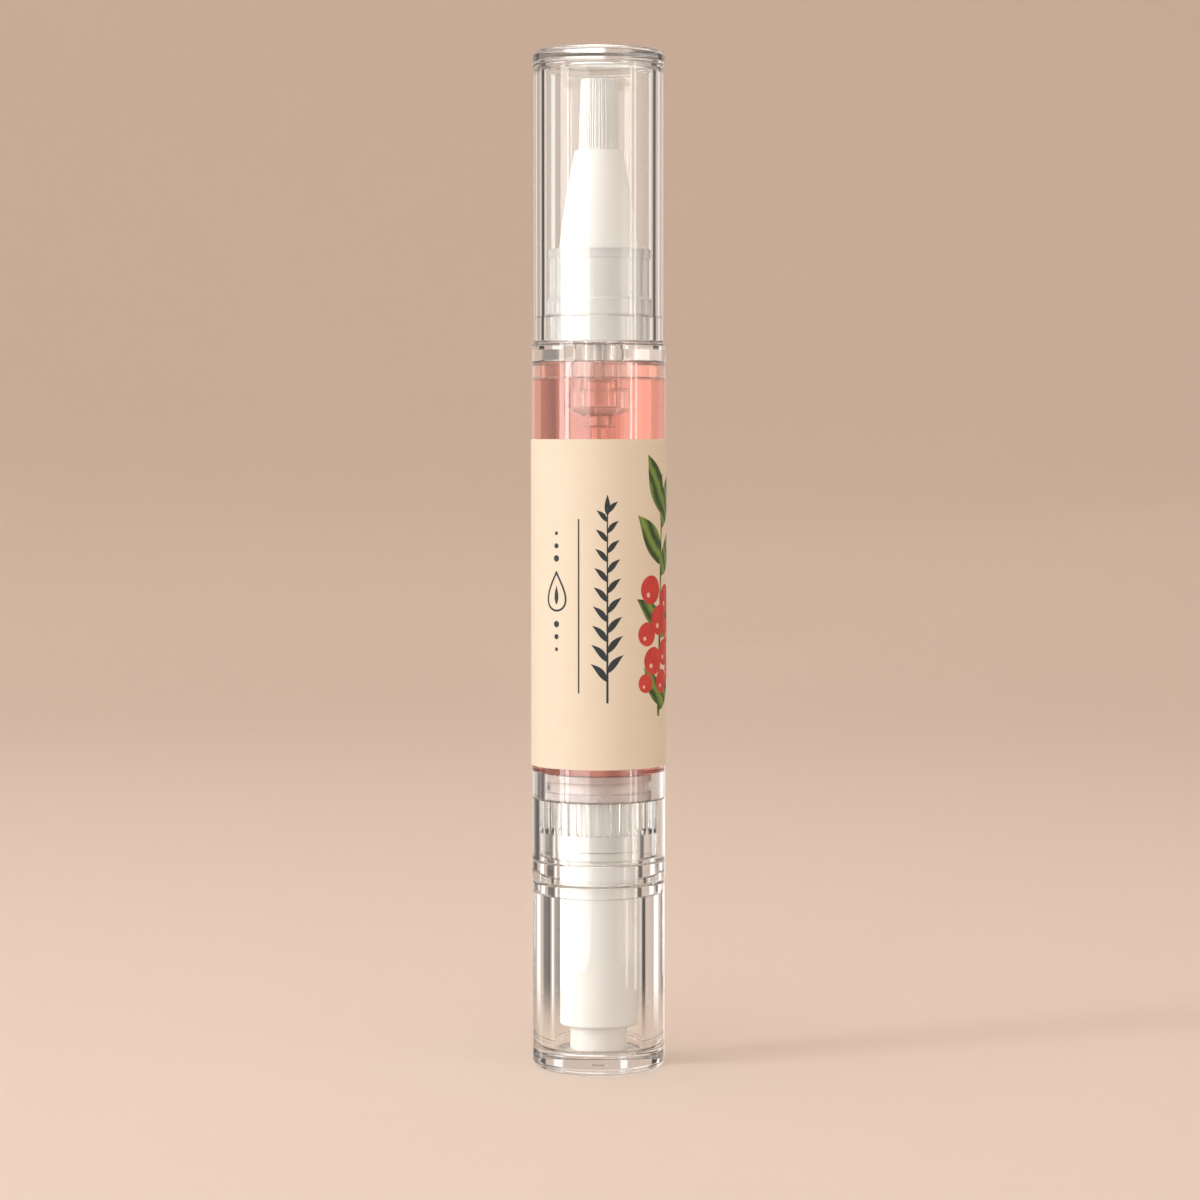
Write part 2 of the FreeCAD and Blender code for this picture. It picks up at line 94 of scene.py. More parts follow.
# Print on the label: places in mm round from the front and up from the foot
INK_SINK = 0.004
INK_LIFT = 0.006
INK_TOP_LIFT = 0.011
INK_STEP = 0.25
STROKE_ACROSS = 2  # faces across a stroke
LEAF_STEPS_MIN = 8
LEAF_ACROSS_MIN = 4
DISC_STEPS_MIN = 12
DISC_ACROSS_MIN = 6
INK_POINT = 0.01  # half width where a shape comes to a point
LEAF_BELLY_POWER = 0.8  # below 1 puts a leaf's widest place nearer to its root
RULE_U = -2.1
RULE_LOW = 40.0
RULE_HIGH = 58.0
RULE_WIDTH = 0.16
DROP_U = -4.7
DROP_V = 50.5
DROP_SIZE = 2.0
DROP_STEPS = 64
DROP_WIDTH_SHARE = 0.8
DROP_PINCH_POWER = 1.4
DROP_LINE_HALF_WIDTH = 0.11
DROP_SEED_SINK = 1.4
DROP_SEED_LENGTH = 2.0
DROP_SEED_WIDTH = 0.5
DOT_COUNT = 3
DOT_START = 3.4
DOT_STEP = 1.3
DOT_R = 0.34
DOT_SHRINK = 0.07
SPRIG_U = 0.9
SPRIG_LOW = 39.0
SPRIG_HIGH = 60.5
SPRIG_PAIRS = 9
SPRIG_STEM_WIDTH = 0.24
SPRIG_STEM_TAPER_SHARE = 0.5
SPRIG_STEM_STOP = 1.5  # from the stem's end up to the sprig's tip
SPRIG_BARE = 2.2  # stem below the lowest leaves
SPRIG_LEAFLESS = 5.0  # stem in all that bears no pairs
SPRIG_STAGGER = 0.9
SPRIG_OFF = 0.05
SPRIG_LEAF_DEG = 42
SPRIG_LEAF_LENGTH = 2.5
SPRIG_LEAF_SHORTENING = 0.9
SPRIG_LEAF_WIDTH = 0.72
SPRIG_LEAF_NARROWING = 0.2
SPRIG_BEND_SHARE = 0.15
SPRIG_TIP_LENGTH = 2.2
SPRIG_TIP_WIDTH = 0.6
SPRAY_U = 8.1
SPRAY_LOW = 37.4
SPRAY_HIGH = 64.6
SPRAY_FOOT_OFF = -0.6
SPRAY_TOP_OFF = 0.3
SPRAY_STEM_STOP = 2.0
SPRAY_STEM_WIDTH = 0.5
SPRAY_STEM_TAPER_SHARE = 0.6
SPRAY_BEND_SHARE = 0.12
SPRAY_LEAVES = [  # off the stem, height, heading in degrees, length, width
    (-0.2, 58.6, -20, 6.4, 2.7),
    (0.3, 57.0, 30, 7.0, 2.8),
    (-0.3, 53.2, -34, 6.2, 2.6),
    (0.2, 52.0, 40, 6.4, 2.6),
    (-0.5, 46.6, -48, 4.6, 2.0),
    (0.0, 45.5, 50, 4.8, 2.0),
    (-0.7, 38.6, -30, 4.6, 1.9),
    (-0.2, 38.0, 36, 5.0, 2.0),
]
SPRAY_BERRIES = [  # off the stem, height, radius
    (-1.9, 50.6, 1.5),
    (1.3, 49.6, 1.5),
    (-0.3, 47.4, 1.6),
    (-2.5, 46.0, 1.25),
    (2.2, 46.2, 1.35),
    (0.9, 44.0, 1.4),
    (-1.5, 43.2, 1.45),
    (-2.7, 40.9, 1.0),
    (0.2, 41.0, 1.25),
    (2.4, 42.2, 1.15),
]
SEED_OFF_SHARE = 0.3  # of the berry's radius, as are the two below
SEED_DROP_SHARE = 0.35
SEED_R_SHARE = 0.17

# Insert housing
HOUSING_FLANGE_HEIGHT = 2.08
HOUSING_SLEEVE_R = 6.27
HOUSING_BORE_R = 4.4
HOUSING_LOW_BORE_R = 4.2
HOUSING_SHOULDER = 0.15
RIB_HEIGHT = 3.4
RIB_COUNT = 40
RIB_GROOVE_R = 0.26

# Knob and drive core
KNOB_FLOOR = 2.0
KNOB_FLOOR_ROUND = 0.5
KNOB_FOOT_ROUND = 0.9
KNOB_RECESS_R = 4.4
KNOB_RECESS_DEPTH = 0.4
KNOB_GATE_R = 0.7
KNOB_GATE_HEIGHT = 0.2
KNOB_GROOVE_Z = 2.4
KNOB_GROOVE_HEIGHT = 0.4
KNOB_GROOVE_DEPTH = 0.12
KNOB_BORE_R = 4.63
KNOB_GRIP_R = 4.13
KNOB_GRIP_HEIGHT = 1.45
CORE_R = 4.1
CORE_FOOT_R = 3.01
CORE_FOOT_HEIGHT = 2.6
CORE_FOOT_ROUND = 0.35
CORE_FLOOR = 1.2
CORE_BORE_R = 2.25
CORE_COLLAR_HEIGHT = 0.85
CORE_NECK_R = 2.87
CORE_NECK_HEIGHT = 2.98

# Piston
PISTON_LIP_HEIGHT = 0.75
PISTON_WAIST = 0.35
PISTON_LIP_WALL = 0.8
PISTON_CUP_DEPTH = 1.15
PISTON_BOSS_R = 1.8
PISTON_BOSS_DEPTH = 0.55

# Nozzle and brush
NOZZLE_HEIGHT = 10.27
NOZZLE_BASE_R = 4.14
NOZZLE_TIP_R = 2.48
NOZZLE_BULGE = 0.125
NOZZLE_STEPS = 24
NOZZLE_SHANK_R = 3.86
NOZZLE_SHANK_BORE_R = 2.96
NOZZLE_FLOOR_DEPTH = 11.6
NOZZLE_SOCKET_R = 2.18
NOZZLE_SOCKET_DEPTH = 3.0
BRUSH_ROOT_R = 2.15
BRUSH_TIP_R = 1.89
BRUSH_ROOT_DEPTH = 1.5
FILAMENT_COUNT = 1100
FILAMENT_R = 0.062
FILAMENT_SIDES = 6
FILAMENT_RINGS = 6
FILAMENT_RAGGED = 0.22
FILAMENT_STRAY = 0.05
BRUSH_SEED = 7

# Flow reducer, dip tube and oil
REDUCER_NECK_R = 2.0
REDUCER_NECK_HEIGHT = 2.73
REDUCER_BULB_R = 2.37
REDUCER_BULB_HEIGHT = 2.25
REDUCER_BULB_ROUND = 0.7
REDUCER_SHOULDER_ROUND = 0.3
REDUCER_FUNNEL_HEIGHT = 0.55
REDUCER_NIPPLE_R = 1.21
REDUCER_NIPPLE_ROUND = 0.25
CHAMBER_R = 1.28
CHAMBER_HEIGHT = 2.9
CHAMBER_LIFT = 0.3
CHAMBER_ROUND = 0.3
REDUCER_STEM_R = 1.8
REDUCER_BORE_R = 0.4
DIP_SEAT_R = 0.9
DIP_SEAT_DEPTH = 1.43
DIP_BORE_R = 0.5
OIL_OVERLAP = 0.02  # the oil's skin runs into the clear walls, so that no film of air shows

# Materials
CLEAR_IOR = 1.49
PLASTIC_IOR = 1.5
BULB_IOR = 1.56
FILAMENT_IOR = 1.53
OIL_IOR = 1.47  # the wet piston bends light as the oil does
OIL_COLOUR = (0.975, 0.18, 0.02)
OIL_DENSITY = 104.0
HAZY_CLEARNESS = 0.8
BULB_CLEARNESS = 0.94
COLLAR_CLEARNESS = 0.72
PISTON_CLEARNESS = 0.5
ALONG_FILAMENT = (1, 1, 0.02)  # stretches the streaks along the brush
ALONG_PAPER = (1, 1, 0.45)
STRIPE_SCALE = 260.0
STRIPE_WAVE = 3.5
STRIPE_DETAIL = 3.0
STRIPE_DETAIL_SCALE = 1.4

# Camera and light, in metres
CAMERA_SENSOR_MM = 36.0
CAMERA_NEAR = 0.01
CAMERA_DISTANCE = 0.3256
CAMERA_HEIGHT = 0.0662
CAMERA_PITCH_DEG = 2.97
CAMERA_YAW_DEG = -0.024
CAMERA_LENS_MM = 93.0
NEAR_FLOOR_R = 0.015  # the clear pieces show the floor to here, and less and less of it further out
FAR_FLOOR_R = 0.06
FLOOR_COLOUR = (0.79, 0.69, 0.61)
WALL_COLOUR = (0.69, 0.595, 0.52)
WALL_COLOUR_Z = 0.08  # the floor's colour has turned into the wall's at this height
WORLD_COLOUR = (0.62, 0.5, 0.42)
BOWL_FLOOR_R = 0.42
BOWL_WALL_R = 0.72
BOWL_HEIGHT = 1.1
BOWL_STEPS = 24
LAMP_POWER = 4.0  # watts for each square metre of a lamp at a radiance of 1
CARD_DISTANCE = 0.5
CARD_CORE_SHARE = 0.55  # of a card's half width, where it is solid
CAP_ROW = (0.09, 0.3)  # heights of the cards that show in the cap, in the oil and in the lower pieces
OIL_ROW = (0.045, 0.09)
KNOB_ROW = (-0.35, 0.045)
FAR_CARD_DISTANCE = 0.56
BRIGHT_CARD = (1.0, 0.97, 0.94)
WARM_CARD = (1.0, 0.83, 0.72)
DARK_CARD = (1.0, 0.9, 0.85)
CARDS = [  # name, azimuth and width in degrees, row, colour, radiance, distance
    ("cap_line_left", -165, 6, CAP_ROW, BRIGHT_CARD, 1.05, CARD_DISTANCE),
    ("cap_dark_left", -133.5, 13, CAP_ROW, DARK_CARD, 0.02, CARD_DISTANCE),
    ("cap_edge_left", -123.5, 8, CAP_ROW, BRIGHT_CARD, 1.1, CARD_DISTANCE),
    ("cap_line_right", 153, 11, CAP_ROW, BRIGHT_CARD, 1.05, CARD_DISTANCE),
    ("cap_dark_right", 133.5, 13, CAP_ROW, DARK_CARD, 0.02, CARD_DISTANCE),
    ("oil_back", 180, 60, OIL_ROW, WARM_CARD, 0.8, FAR_CARD_DISTANCE),
    ("oil_glow_left", -151, 20, OIL_ROW, WARM_CARD, 1.05, CARD_DISTANCE),
    ("oil_dark_right", 145, 24, OIL_ROW, DARK_CARD, 0.3, CARD_DISTANCE),
    ("knob_line_left", -182, 14, KNOB_ROW, BRIGHT_CARD, 1.4, CARD_DISTANCE),
    ("knob_dark_left", -143, 38, KNOB_ROW, DARK_CARD, 0.13, CARD_DISTANCE),
    ("knob_edge_left", -120.5, 9, KNOB_ROW, BRIGHT_CARD, 1.2, CARD_DISTANCE),
    ("knob_line_right", 169, 28, KNOB_ROW, BRIGHT_CARD, 1.3, FAR_CARD_DISTANCE),
    ("knob_dark_right", 116, 18, KNOB_ROW, DARK_CARD, 0.06, CARD_DISTANCE),
]
LAMPS = [  # name, azimuth in degrees, distance, height, height aimed at, width, tall, radiance, colour
    ("sun_lamp", -68, 0.6, 0.27, 0.03, 0.12, 0.12, 15.0, (1, 1, 1)),
    ("key_strip", -66, 0.42, 0.045, 0.045, 0.066, 0.22, 5.2, (1, 1, 1)),
    ("soft_panel", -37, 0.5, 0.045, 0.045, 0.37, 0.24, 1.35, (1, 1, 1)),
    ("right_strip", 67, 0.42, 0.045, 0.045, 0.035, 0.22, 4.0, (1, 1, 1)),
    ("fill_panel", 62, 0.6, 0.06, 0.06, 0.4, 0.3, 0.85, (1, 0.88, 0.76)),
    ("top_panel", -40, 0.25, 0.75, 0.0, 0.7, 0.7, 1.2, (1, 1, 1)),
]
LAMPS_NOT_REFLECTED = ("sun_lamp",)
TOP_GLOW_COLOUR = (1.0, 0.98, 0.95)
TOP_GLOW_SIZE = 0.4
TOP_GLOW_Z = 0.6
TOP_GLOW_RADIANCE = 16.0
LIGHT_BOUNCES = 24
GLOSS_BOUNCES = 10
CLEAR_LAYERS = 32


def reach(node):
    """A CAD node's outer radius, lowest and highest height, in mm."""
    low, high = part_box(node)
    return high.x / MM, low.z / MM, high.z / MM


paper_r = reach("label")[0] - LABEL_INSET


def corner_points(before, corner, after, radius):
    """Points of the arc that rounds a corner, with a holding point at either side."""
    back = (before - corner).normalized()
    ahead = (after - corner).normalized()
    half = back.angle(ahead) / 2
    setback = radius / math.tan(half)
    middle = corner + (back + ahead).normalized() * (radius / math.sin(half))
    first = corner + back * setback
    last = corner + ahead * setback
    sweep = math.pi - 2 * half
    turn = math.copysign(sweep, back.x * ahead.y - back.y * ahead.x)
    points = [first + back * HOLD]
    for step in range(ARC_STEPS + 1):
        swing = Matrix.Rotation(-turn * step / ARC_STEPS, 2)
        points.append(middle + swing @ (first - middle))
    points.append(last + ahead * HOLD)
    return points


def rounded(points):
    """A closed outline through (radius, height) points. A third value rounds that corner."""
    outline = []
    for i, point in enumerate(points):
        corner = Vector(point[:2])
        if len(point) == 2:
            outline.append(corner)
            continue
        before = Vector(points[i - 1][:2])
        after = Vector(points[(i + 1) % len(points)][:2])
        outline.extend(corner_points(before, corner, after, point[2]))
    return [tuple(p) for p in outline]


def band(ring, following):
    """Faces between two rings of vertices. A ring on the axis has one vertex."""
    count = max(len(ring), len(following))
    if len(ring) == 1 and len(following) == 1:
        return []
    faces = []
    for k in range(count):
        after = (k + 1) % count
        if len(ring) == 1:
            faces.append((ring[0], following[after], following[k]))
        elif len(following) == 1:
            faces.append((ring[k], ring[after], following[0]))
        else:
            faces.append((ring[k], ring[after], following[after], following[k]))
    return faces


def new_piece(name, vertices, faces, smooth=True):
    """A mesh object in the scene, smooth apart from its sharp edges."""
    mesh = bpy.data.meshes.new(name)
    mesh.from_pydata(vertices, [], faces)
    mesh.validate()
    if smooth:
        mesh.shade_smooth()
        mesh.set_sharp_from_angle(angle=math.radians(SHARP_DEG))
    piece = bpy.data.objects.new(name, mesh)
    bpy.context.scene.collection.objects.link(piece)
    return piece


def spin(outline, segments, shape=None):
    """Vertices and rings of an outline in mm, spun round the axis."""
    vertices = []
    rings = []
    for radius, height in outline:
        start = len(vertices)
        if radius < TINY:
            vertices.append((0, 0, height * MM))
            rings.append([start])
            continue
        for k in range(segments):
            angle = 2 * math.pi * k / segments
            r = shape(radius, height, angle) if shape else radius
            vertices.append((r * MM * math.cos(angle), r * MM * math.sin(angle), height * MM))
        rings.append(list(range(start, start + segments)))
    return vertices, rings


def lathe(name, *outlines, segments=SEGMENTS, shape=None):
    """A piece of closed outlines, spun round the axis. shape(radius, height, angle) may change a radius."""
    vertices = []
    faces = []
    for outline in outlines:
        spun, rings = spin(outline, segments, shape)
        shift = len(vertices)
        for ring, following in zip(rings, rings[1:] + rings[:1]):
            for face in band(ring, following):
                faces.append(tuple(shift + v for v in face))
        vertices.extend(spun)
    return new_piece(name, vertices, faces)


def dress(piece, material, body, slot, *nodes):
    """Gives a piece its material and body, and lets it stand for CAD nodes. The slot is not used."""
    piece.data.materials.append(material)
    if nodes:
        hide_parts(*nodes)
    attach(piece, body)


# Materials


class Nodes:
    """Short names for adding nodes to a material's tree."""

    def __init__(self, name):
        self.material = bpy.data.materials.new(name)
        self.material.use_nodes = True
        self.tree = self.material.node_tree
        self.shader = self.tree.nodes["Principled BSDF"]
        self.output = self.tree.nodes["Material Output"]

    def add(self, kind, **values):
        node = self.tree.nodes.new(kind)
        for key, value in values.items():
            setattr(node, key, value)
        return node

    def link(self, source, target):
        self.tree.links.new(source, target)

    def coords(self, stretch=(1, 1, 1)):
        """Object coordinates, stretched along each axis."""
        place = self.add("ShaderNodeTexCoord")
        mapping = self.add("ShaderNodeMapping")
        mapping.inputs["Scale"].default_value = stretch
        self.link(place.outputs["Object"], mapping.inputs["Vector"])
        return mapping.outputs["Vector"]

    def noise(self, scale, detail=2.0, stretch=(1, 1, 1)):
        texture = self.add("ShaderNodeTexNoise")
        texture.inputs["Scale"].default_value = scale
        texture.inputs["Detail"].default_value = detail
        self.link(self.coords(stretch), texture.inputs["Vector"])
        return texture.outputs["Fac"]

    def ramp(self, factor, low, high):
        """A colour between low and high."""
        mix = self.add("ShaderNodeMix", data_type="RGBA")
        self.link(factor, mix.inputs["Factor"])
        mix.inputs["A"].default_value = (*low, 1)
        mix.inputs["B"].default_value = (*high, 1)
        return mix.outputs["Result"]

    def span(self, factor, low, high):
        """A number between low and high."""
        spread = self.add("ShaderNodeMapRange")
        spread.inputs["To Min"].default_value = low
        spread.inputs["To Max"].default_value = high
        self.link(factor, spread.inputs["Value"])
        return spread.outputs["Result"]

    def colour(self, low, high, scale, detail=2.0, stretch=(1, 1, 1)):
        """A base colour that varies between low and high."""
        tone = self.ramp(self.noise(scale, detail, stretch), low, high)
        self.link(tone, self.shader.inputs["Base Color"])

    def roughness(self, low, high, scale, detail=2.0):
        """A roughness that varies between low and high."""
        self.link(self.span(self.noise(scale, detail), low, high), self.shader.inputs["Roughness"])

    def bump(self, height, strength, distance):
        node = self.add("ShaderNodeBump")
        node.inputs["Strength"].default_value = strength
        node.inputs["Distance"].default_value = distance
        self.link(height, node.inputs["Height"])
        self.link(node.outputs["Normal"], self.shader.inputs["Normal"])

    def set(self, **values):
        for key, value in values.items():
            self.shader.inputs[key.replace("_", " ")].default_value = value

    def smooth(self, value, start, end):
        """0 at start and 1 at end, eased."""
        ease = self.add("ShaderNodeMapRange", interpolation_type="SMOOTHSTEP")
        ease.inputs["From Min"].default_value = start
        ease.inputs["From Max"].default_value = end
        self.link(value, ease.inputs["Value"])
        return ease.outputs["Result"]

    def veil(self, factor, tint=(1, 1, 1)):
        """A clear tint takes the shader's place where the factor is 1."""
        clear = self.add("ShaderNodeBsdfTransparent")
        clear.inputs["Color"].default_value = (*tint, 1)
        mix = self.add("ShaderNodeMixShader")
        self.link(factor, mix.inputs["Fac"])
        self.link(self.shader.outputs["BSDF"], mix.inputs[1])
        self.link(clear.outputs["BSDF"], mix.inputs[2])
        self.link(mix.outputs["Shader"], self.output.inputs["Surface"])

    def let_light_through(self, tint):
        """Lamps shine through: shadow rays see a clear tint in place of the glass."""
        path = self.add("ShaderNodeLightPath")
        self.veil(path.outputs["Is Shadow Ray"], tint)


def clear_plastic():
    n = Nodes("clear_plastic")
    n.set(IOR=CLEAR_IOR, Transmission_Weight=1.0)
    n.colour((0.965, 0.975, 0.97), (0.99, 0.99, 0.985), 90)
    n.roughness(0.0, 0.004, 700)
    n.let_light_through((0.93, 0.93, 0.92))
    return n.material


def hazy_plastic():
    n = Nodes("hazy_plastic")
    n.set(IOR=PLASTIC_IOR, Transmission_Weight=HAZY_CLEARNESS)
    n.colour((0.93, 0.925, 0.91), (0.97, 0.965, 0.955), 160)
    n.roughness(0.03, 0.08, 420, 3)
    n.let_light_through((0.84, 0.83, 0.81))
    return n.material


def collar_plastic(shelf_z):
    """Clear in the barrel and in the flange, and milky above."""
    n = Nodes("collar_plastic")
    n.set(IOR=PLASTIC_IOR)
    split = n.add("ShaderNodeSeparateXYZ")
    n.link(n.coords(), split.inputs["Vector"])
    milk = n.smooth(split.outputs["Z"], (shelf_z - EDGE) * MM, (shelf_z + EDGE) * MM)
    n.link(n.span(milk, 1.0, COLLAR_CLEARNESS), n.shader.inputs["Transmission Weight"])
    n.link(n.span(milk, 0.004, 0.06), n.shader.inputs["Roughness"])
    n.colour((0.955, 0.95, 0.94), (0.985, 0.98, 0.975), 160)
    n.let_light_through((0.92, 0.91, 0.9))
    return n.material


def bulb_plastic():
    n = Nodes("bulb_plastic")
    n.set(IOR=BULB_IOR, Transmission_Weight=BULB_CLEARNESS)
    n.colour((0.95, 0.945, 0.94), (0.98, 0.975, 0.97), 160)
    n.roughness(0.02, 0.06, 420, 3)
    n.let_light_through((0.88, 0.86, 0.85))
    return n.material


def white_plastic():
    n = Nodes("white_plastic")
    n.set(IOR=PLASTIC_IOR)
    n.colour((0.86, 0.845, 0.815), (0.9, 0.885, 0.86), 220, 4)
    n.roughness(0.34, 0.48, 500, 3)
    n.bump(n.noise(1500, 4), 0.06, 0.00008)
    return n.material


def piston_plastic(cup_r, cup_z):
    """Milky on the dry outside, and clear in the cup, where the oil wets it. Its pink base colour is painted
    light from the coral oil above.
    """
    n = Nodes("piston_plastic")
    n.set(IOR=OIL_IOR)
    split = n.add("ShaderNodeSeparateXYZ")
    n.link(n.coords(), split.inputs["Vector"])
    from_axis = n.add("ShaderNodeVectorMath", operation="LENGTH")
    n.link(n.coords((1, 1, 0)), from_axis.inputs[0])
    above = n.smooth(split.outputs["Z"], (cup_z - 2 * EDGE) * MM, (cup_z - EDGE) * MM)
    inside = n.smooth(from_axis.outputs["Value"], (cup_r + 2 * EDGE) * MM, (cup_r + EDGE) * MM)
    wet = n.add("ShaderNodeMath", operation="MULTIPLY")
    n.link(above, wet.inputs[0])
    n.link(inside, wet.inputs[1])
    n.link(n.span(wet.outputs["Value"], PISTON_CLEARNESS, 1.0), n.shader.inputs["Transmission Weight"])
    # Painted light: the pink in this white piston's base colour stands in for the coral light that reaches it
    # through the oil
    n.colour((0.96, 0.86, 0.825), (0.99, 0.9, 0.87), 260, 4)
    n.roughness(0.2, 0.32, 600, 3)
    n.let_light_through((0.85, 0.76, 0.72))
    return n.material


def filament():
    n = Nodes("brush_filament")
    n.set(IOR=FILAMENT_IOR)
    n.colour((0.8, 0.785, 0.755), (0.93, 0.925, 0.905), 2600, 2, ALONG_FILAMENT)
    n.roughness(0.3, 0.45, 900)
    return n.material


def label_paper():
    n = Nodes("label_paper")
    n.colour((0.82, 0.75, 0.61), (0.85, 0.785, 0.65), 340, 6)
    n.roughness(0.5, 0.62, 1600, 4)
    n.bump(n.noise(4200, 5, ALONG_PAPER), 0.12, 0.00003)
    return n.material


def ink(name, low, high, scale):
    n = Nodes(name)
    n.colour(low, high, scale, 5)
    n.roughness(0.45, 0.6, 1800, 3)
    return n.material


def striped_ink(name, dark, light):
    """Leaf green in waving stripes."""
    n = Nodes(name)
    wave = n.add("ShaderNodeTexWave", bands_direction="DIAGONAL")
    wave.inputs["Scale"].default_value = STRIPE_SCALE
    wave.inputs["Distortion"].default_value = STRIPE_WAVE
    wave.inputs["Detail"].default_value = STRIPE_DETAIL
    wave.inputs["Detail Scale"].default_value = STRIPE_DETAIL_SCALE
    n.link(n.coords(), wave.inputs["Vector"])
    n.link(n.ramp(wave.outputs["Fac"], dark, light), n.shader.inputs["Base Color"])
    n.roughness(0.45, 0.6, 1800, 3)
    return n.material


def coral_oil():
    n = Nodes("coral_oil")
    n.set(IOR=OIL_IOR, Transmission_Weight=1.0)
    n.colour((0.98, 0.965, 0.955), (0.995, 0.985, 0.98), 60)
    n.roughness(0.0, 0.004, 200)
    n.let_light_through((0.97, 0.72, 0.66))
    absorb = n.add("ShaderNodeVolumeAbsorption")
    absorb.inputs["Color"].default_value = (*OIL_COLOUR, 1)
    absorb.inputs["Density"].default_value = OIL_DENSITY
    n.link(absorb.outputs["Volume"], n.output.inputs["Volume"])
    return n.material


def backdrop():
    """Pale floor, a little deeper in tone up the wall."""
    n = Nodes("backdrop")
    place = n.coords()
    split = n.add("ShaderNodeSeparateXYZ")
    n.link(place, split.inputs["Vector"])
    rise = n.smooth(split.outputs["Z"], 0.0, WALL_COLOUR_Z)
    n.link(n.ramp(rise, FLOOR_COLOUR, WALL_COLOUR), n.shader.inputs["Base Color"])
    n.roughness(0.8, 0.9, 40, 3)
    radius = n.add("ShaderNodeVectorMath", operation="LENGTH")
    n.link(place, radius.inputs[0])
    path = n.add("ShaderNodeLightPath")
    fade = n.add("ShaderNodeMath", operation="MULTIPLY")
    n.link(n.smooth(radius.outputs["Value"], NEAR_FLOOR_R, FAR_FLOOR_R), fade.inputs[0])
    n.link(path.outputs["Is Transmission Ray"], fade.inputs[1])
    n.veil(fade.outputs["Value"])
    return n.material


def card_material(name, half_width, colour, radiance):
    """A glowing or dark card that fades out to its sides."""
    n = Nodes(name)
    n.set(Base_Color=(0, 0, 0, 1), Emission_Color=(*colour, 1), Emission_Strength=radiance)
    n.set(Roughness=1.0, Specular_IOR_Level=0.0)
    split = n.add("ShaderNodeSeparateXYZ")
    n.link(n.coords(), split.inputs["Vector"])
    side = n.add("ShaderNodeMath", operation="ABSOLUTE")
    n.link(split.outputs["X"], side.inputs[0])
    n.veil(n.smooth(side.outputs["Value"], CARD_CORE_SHARE * half_width, half_width))
    n.material.cycles.emission_sampling = "NONE"
    return n.material


# Pieces


def make_cap(material):
    lip_r, foot_z, top_z = reach("cap")
    wall_r = lip_r - CAP_LIP_STEP
    bore_r = wall_r - CAP_WALL
    mouth_r = bore_r + CAP_MOUTH_RELIEF
    mouth_z = foot_z + CAP_MOUTH_HEIGHT
    lip_z = top_z - CAP_LIP_HEIGHT
    groove_r = wall_r - CAP_GROOVE_DEPTH
    groove_z = lip_z - CAP_GROOVE_HEIGHT
    piece = lathe("cap_shell", rounded([
        (mouth_r, foot_z, EDGE),
        (wall_r, foot_z, EDGE),
        (wall_r, groove_z, FINE),
        (groove_r, groove_z, FINE),
        (groove_r, lip_z, FINE),
        (lip_r, lip_z, EDGE),
        (lip_r, top_z, CAP_LIP_ROUND),
        (0, top_z),
        (0, top_z - CAP_TOP),
        (bore_r, top_z - CAP_TOP, CAP_CEILING_ROUND),
        (bore_r, mouth_z, FINE),
        (mouth_r, mouth_z, FINE),
    ]))
    dress(piece, material, "cap", "clear_plastic", "cap")


def make_collar(material):
    flange_r, skirt_z, top_z = reach("collar")
    barrel_r, _, barrel_top_z = reach("barrel")
    skirt_r = barrel_r - BARREL_WALL
    skirt_bore_r = skirt_r - COLLAR_SKIRT_WALL
    flange_z = barrel_top_z + OIL_OVERLAP
    shelf_z = barrel_top_z + COLLAR_FLANGE_HEIGHT
    bead_z = shelf_z + COLLAR_BEAD_Z
    bead_slope = COLLAR_BEAD_R - COLLAR_BODY_R
    rim_z = top_z - COLLAR_RIM_HEIGHT
    piece = lathe("collar_clear", rounded([
        (STEM_R, flange_z, FINE),
        (skirt_bore_r, flange_z, FINE),
        (skirt_bore_r, skirt_z, FINE),
        (skirt_r + OIL_OVERLAP, skirt_z, EDGE),
        (skirt_r + OIL_OVERLAP, flange_z, FINE),
        (flange_r, flange_z, EDGE),
        (flange_r, shelf_z, EDGE),
        (COLLAR_BODY_R, shelf_z, FINE),
        (COLLAR_BODY_R, bead_z, FINE),
        (COLLAR_BEAD_R, bead_z + bead_slope, EDGE),
        (COLLAR_BEAD_R, bead_z + COLLAR_BEAD_HEIGHT - bead_slope, EDGE),
        (COLLAR_BODY_R, bead_z + COLLAR_BEAD_HEIGHT, FINE),
        (COLLAR_BODY_R, rim_z, FINE),
        (COLLAR_RIM_R, rim_z, FINE),
        (COLLAR_RIM_R, top_z, EDGE),
        (COLLAR_BORE_R, top_z, FINE),
        (COLLAR_BORE_R, shelf_z, FINE),
        (STEM_R, shelf_z, FINE),
    ]))
    dress(piece, material, "barrel", "hazy_plastic", "collar")


def make_barrel(material):
    barrel_r, foot_z, top_z = reach("barrel")
    bore_r = barrel_r - BARREL_WALL
    socket_r = barrel_r - BARREL_SOCKET_WALL
    socket_z = reach("insert_housing")[2] + OIL_OVERLAP
    piece = lathe("barrel_tube", rounded([
        (socket_r, foot_z, FINE),
        (barrel_r, foot_z, EDGE),
        (barrel_r, top_z, EDGE),
        (bore_r, top_z, FINE),
        (bore_r, socket_z, FINE),
        (socket_r, socket_z, FINE),
    ]))
    dress(piece, material, "barrel", "clear_plastic", "barrel")


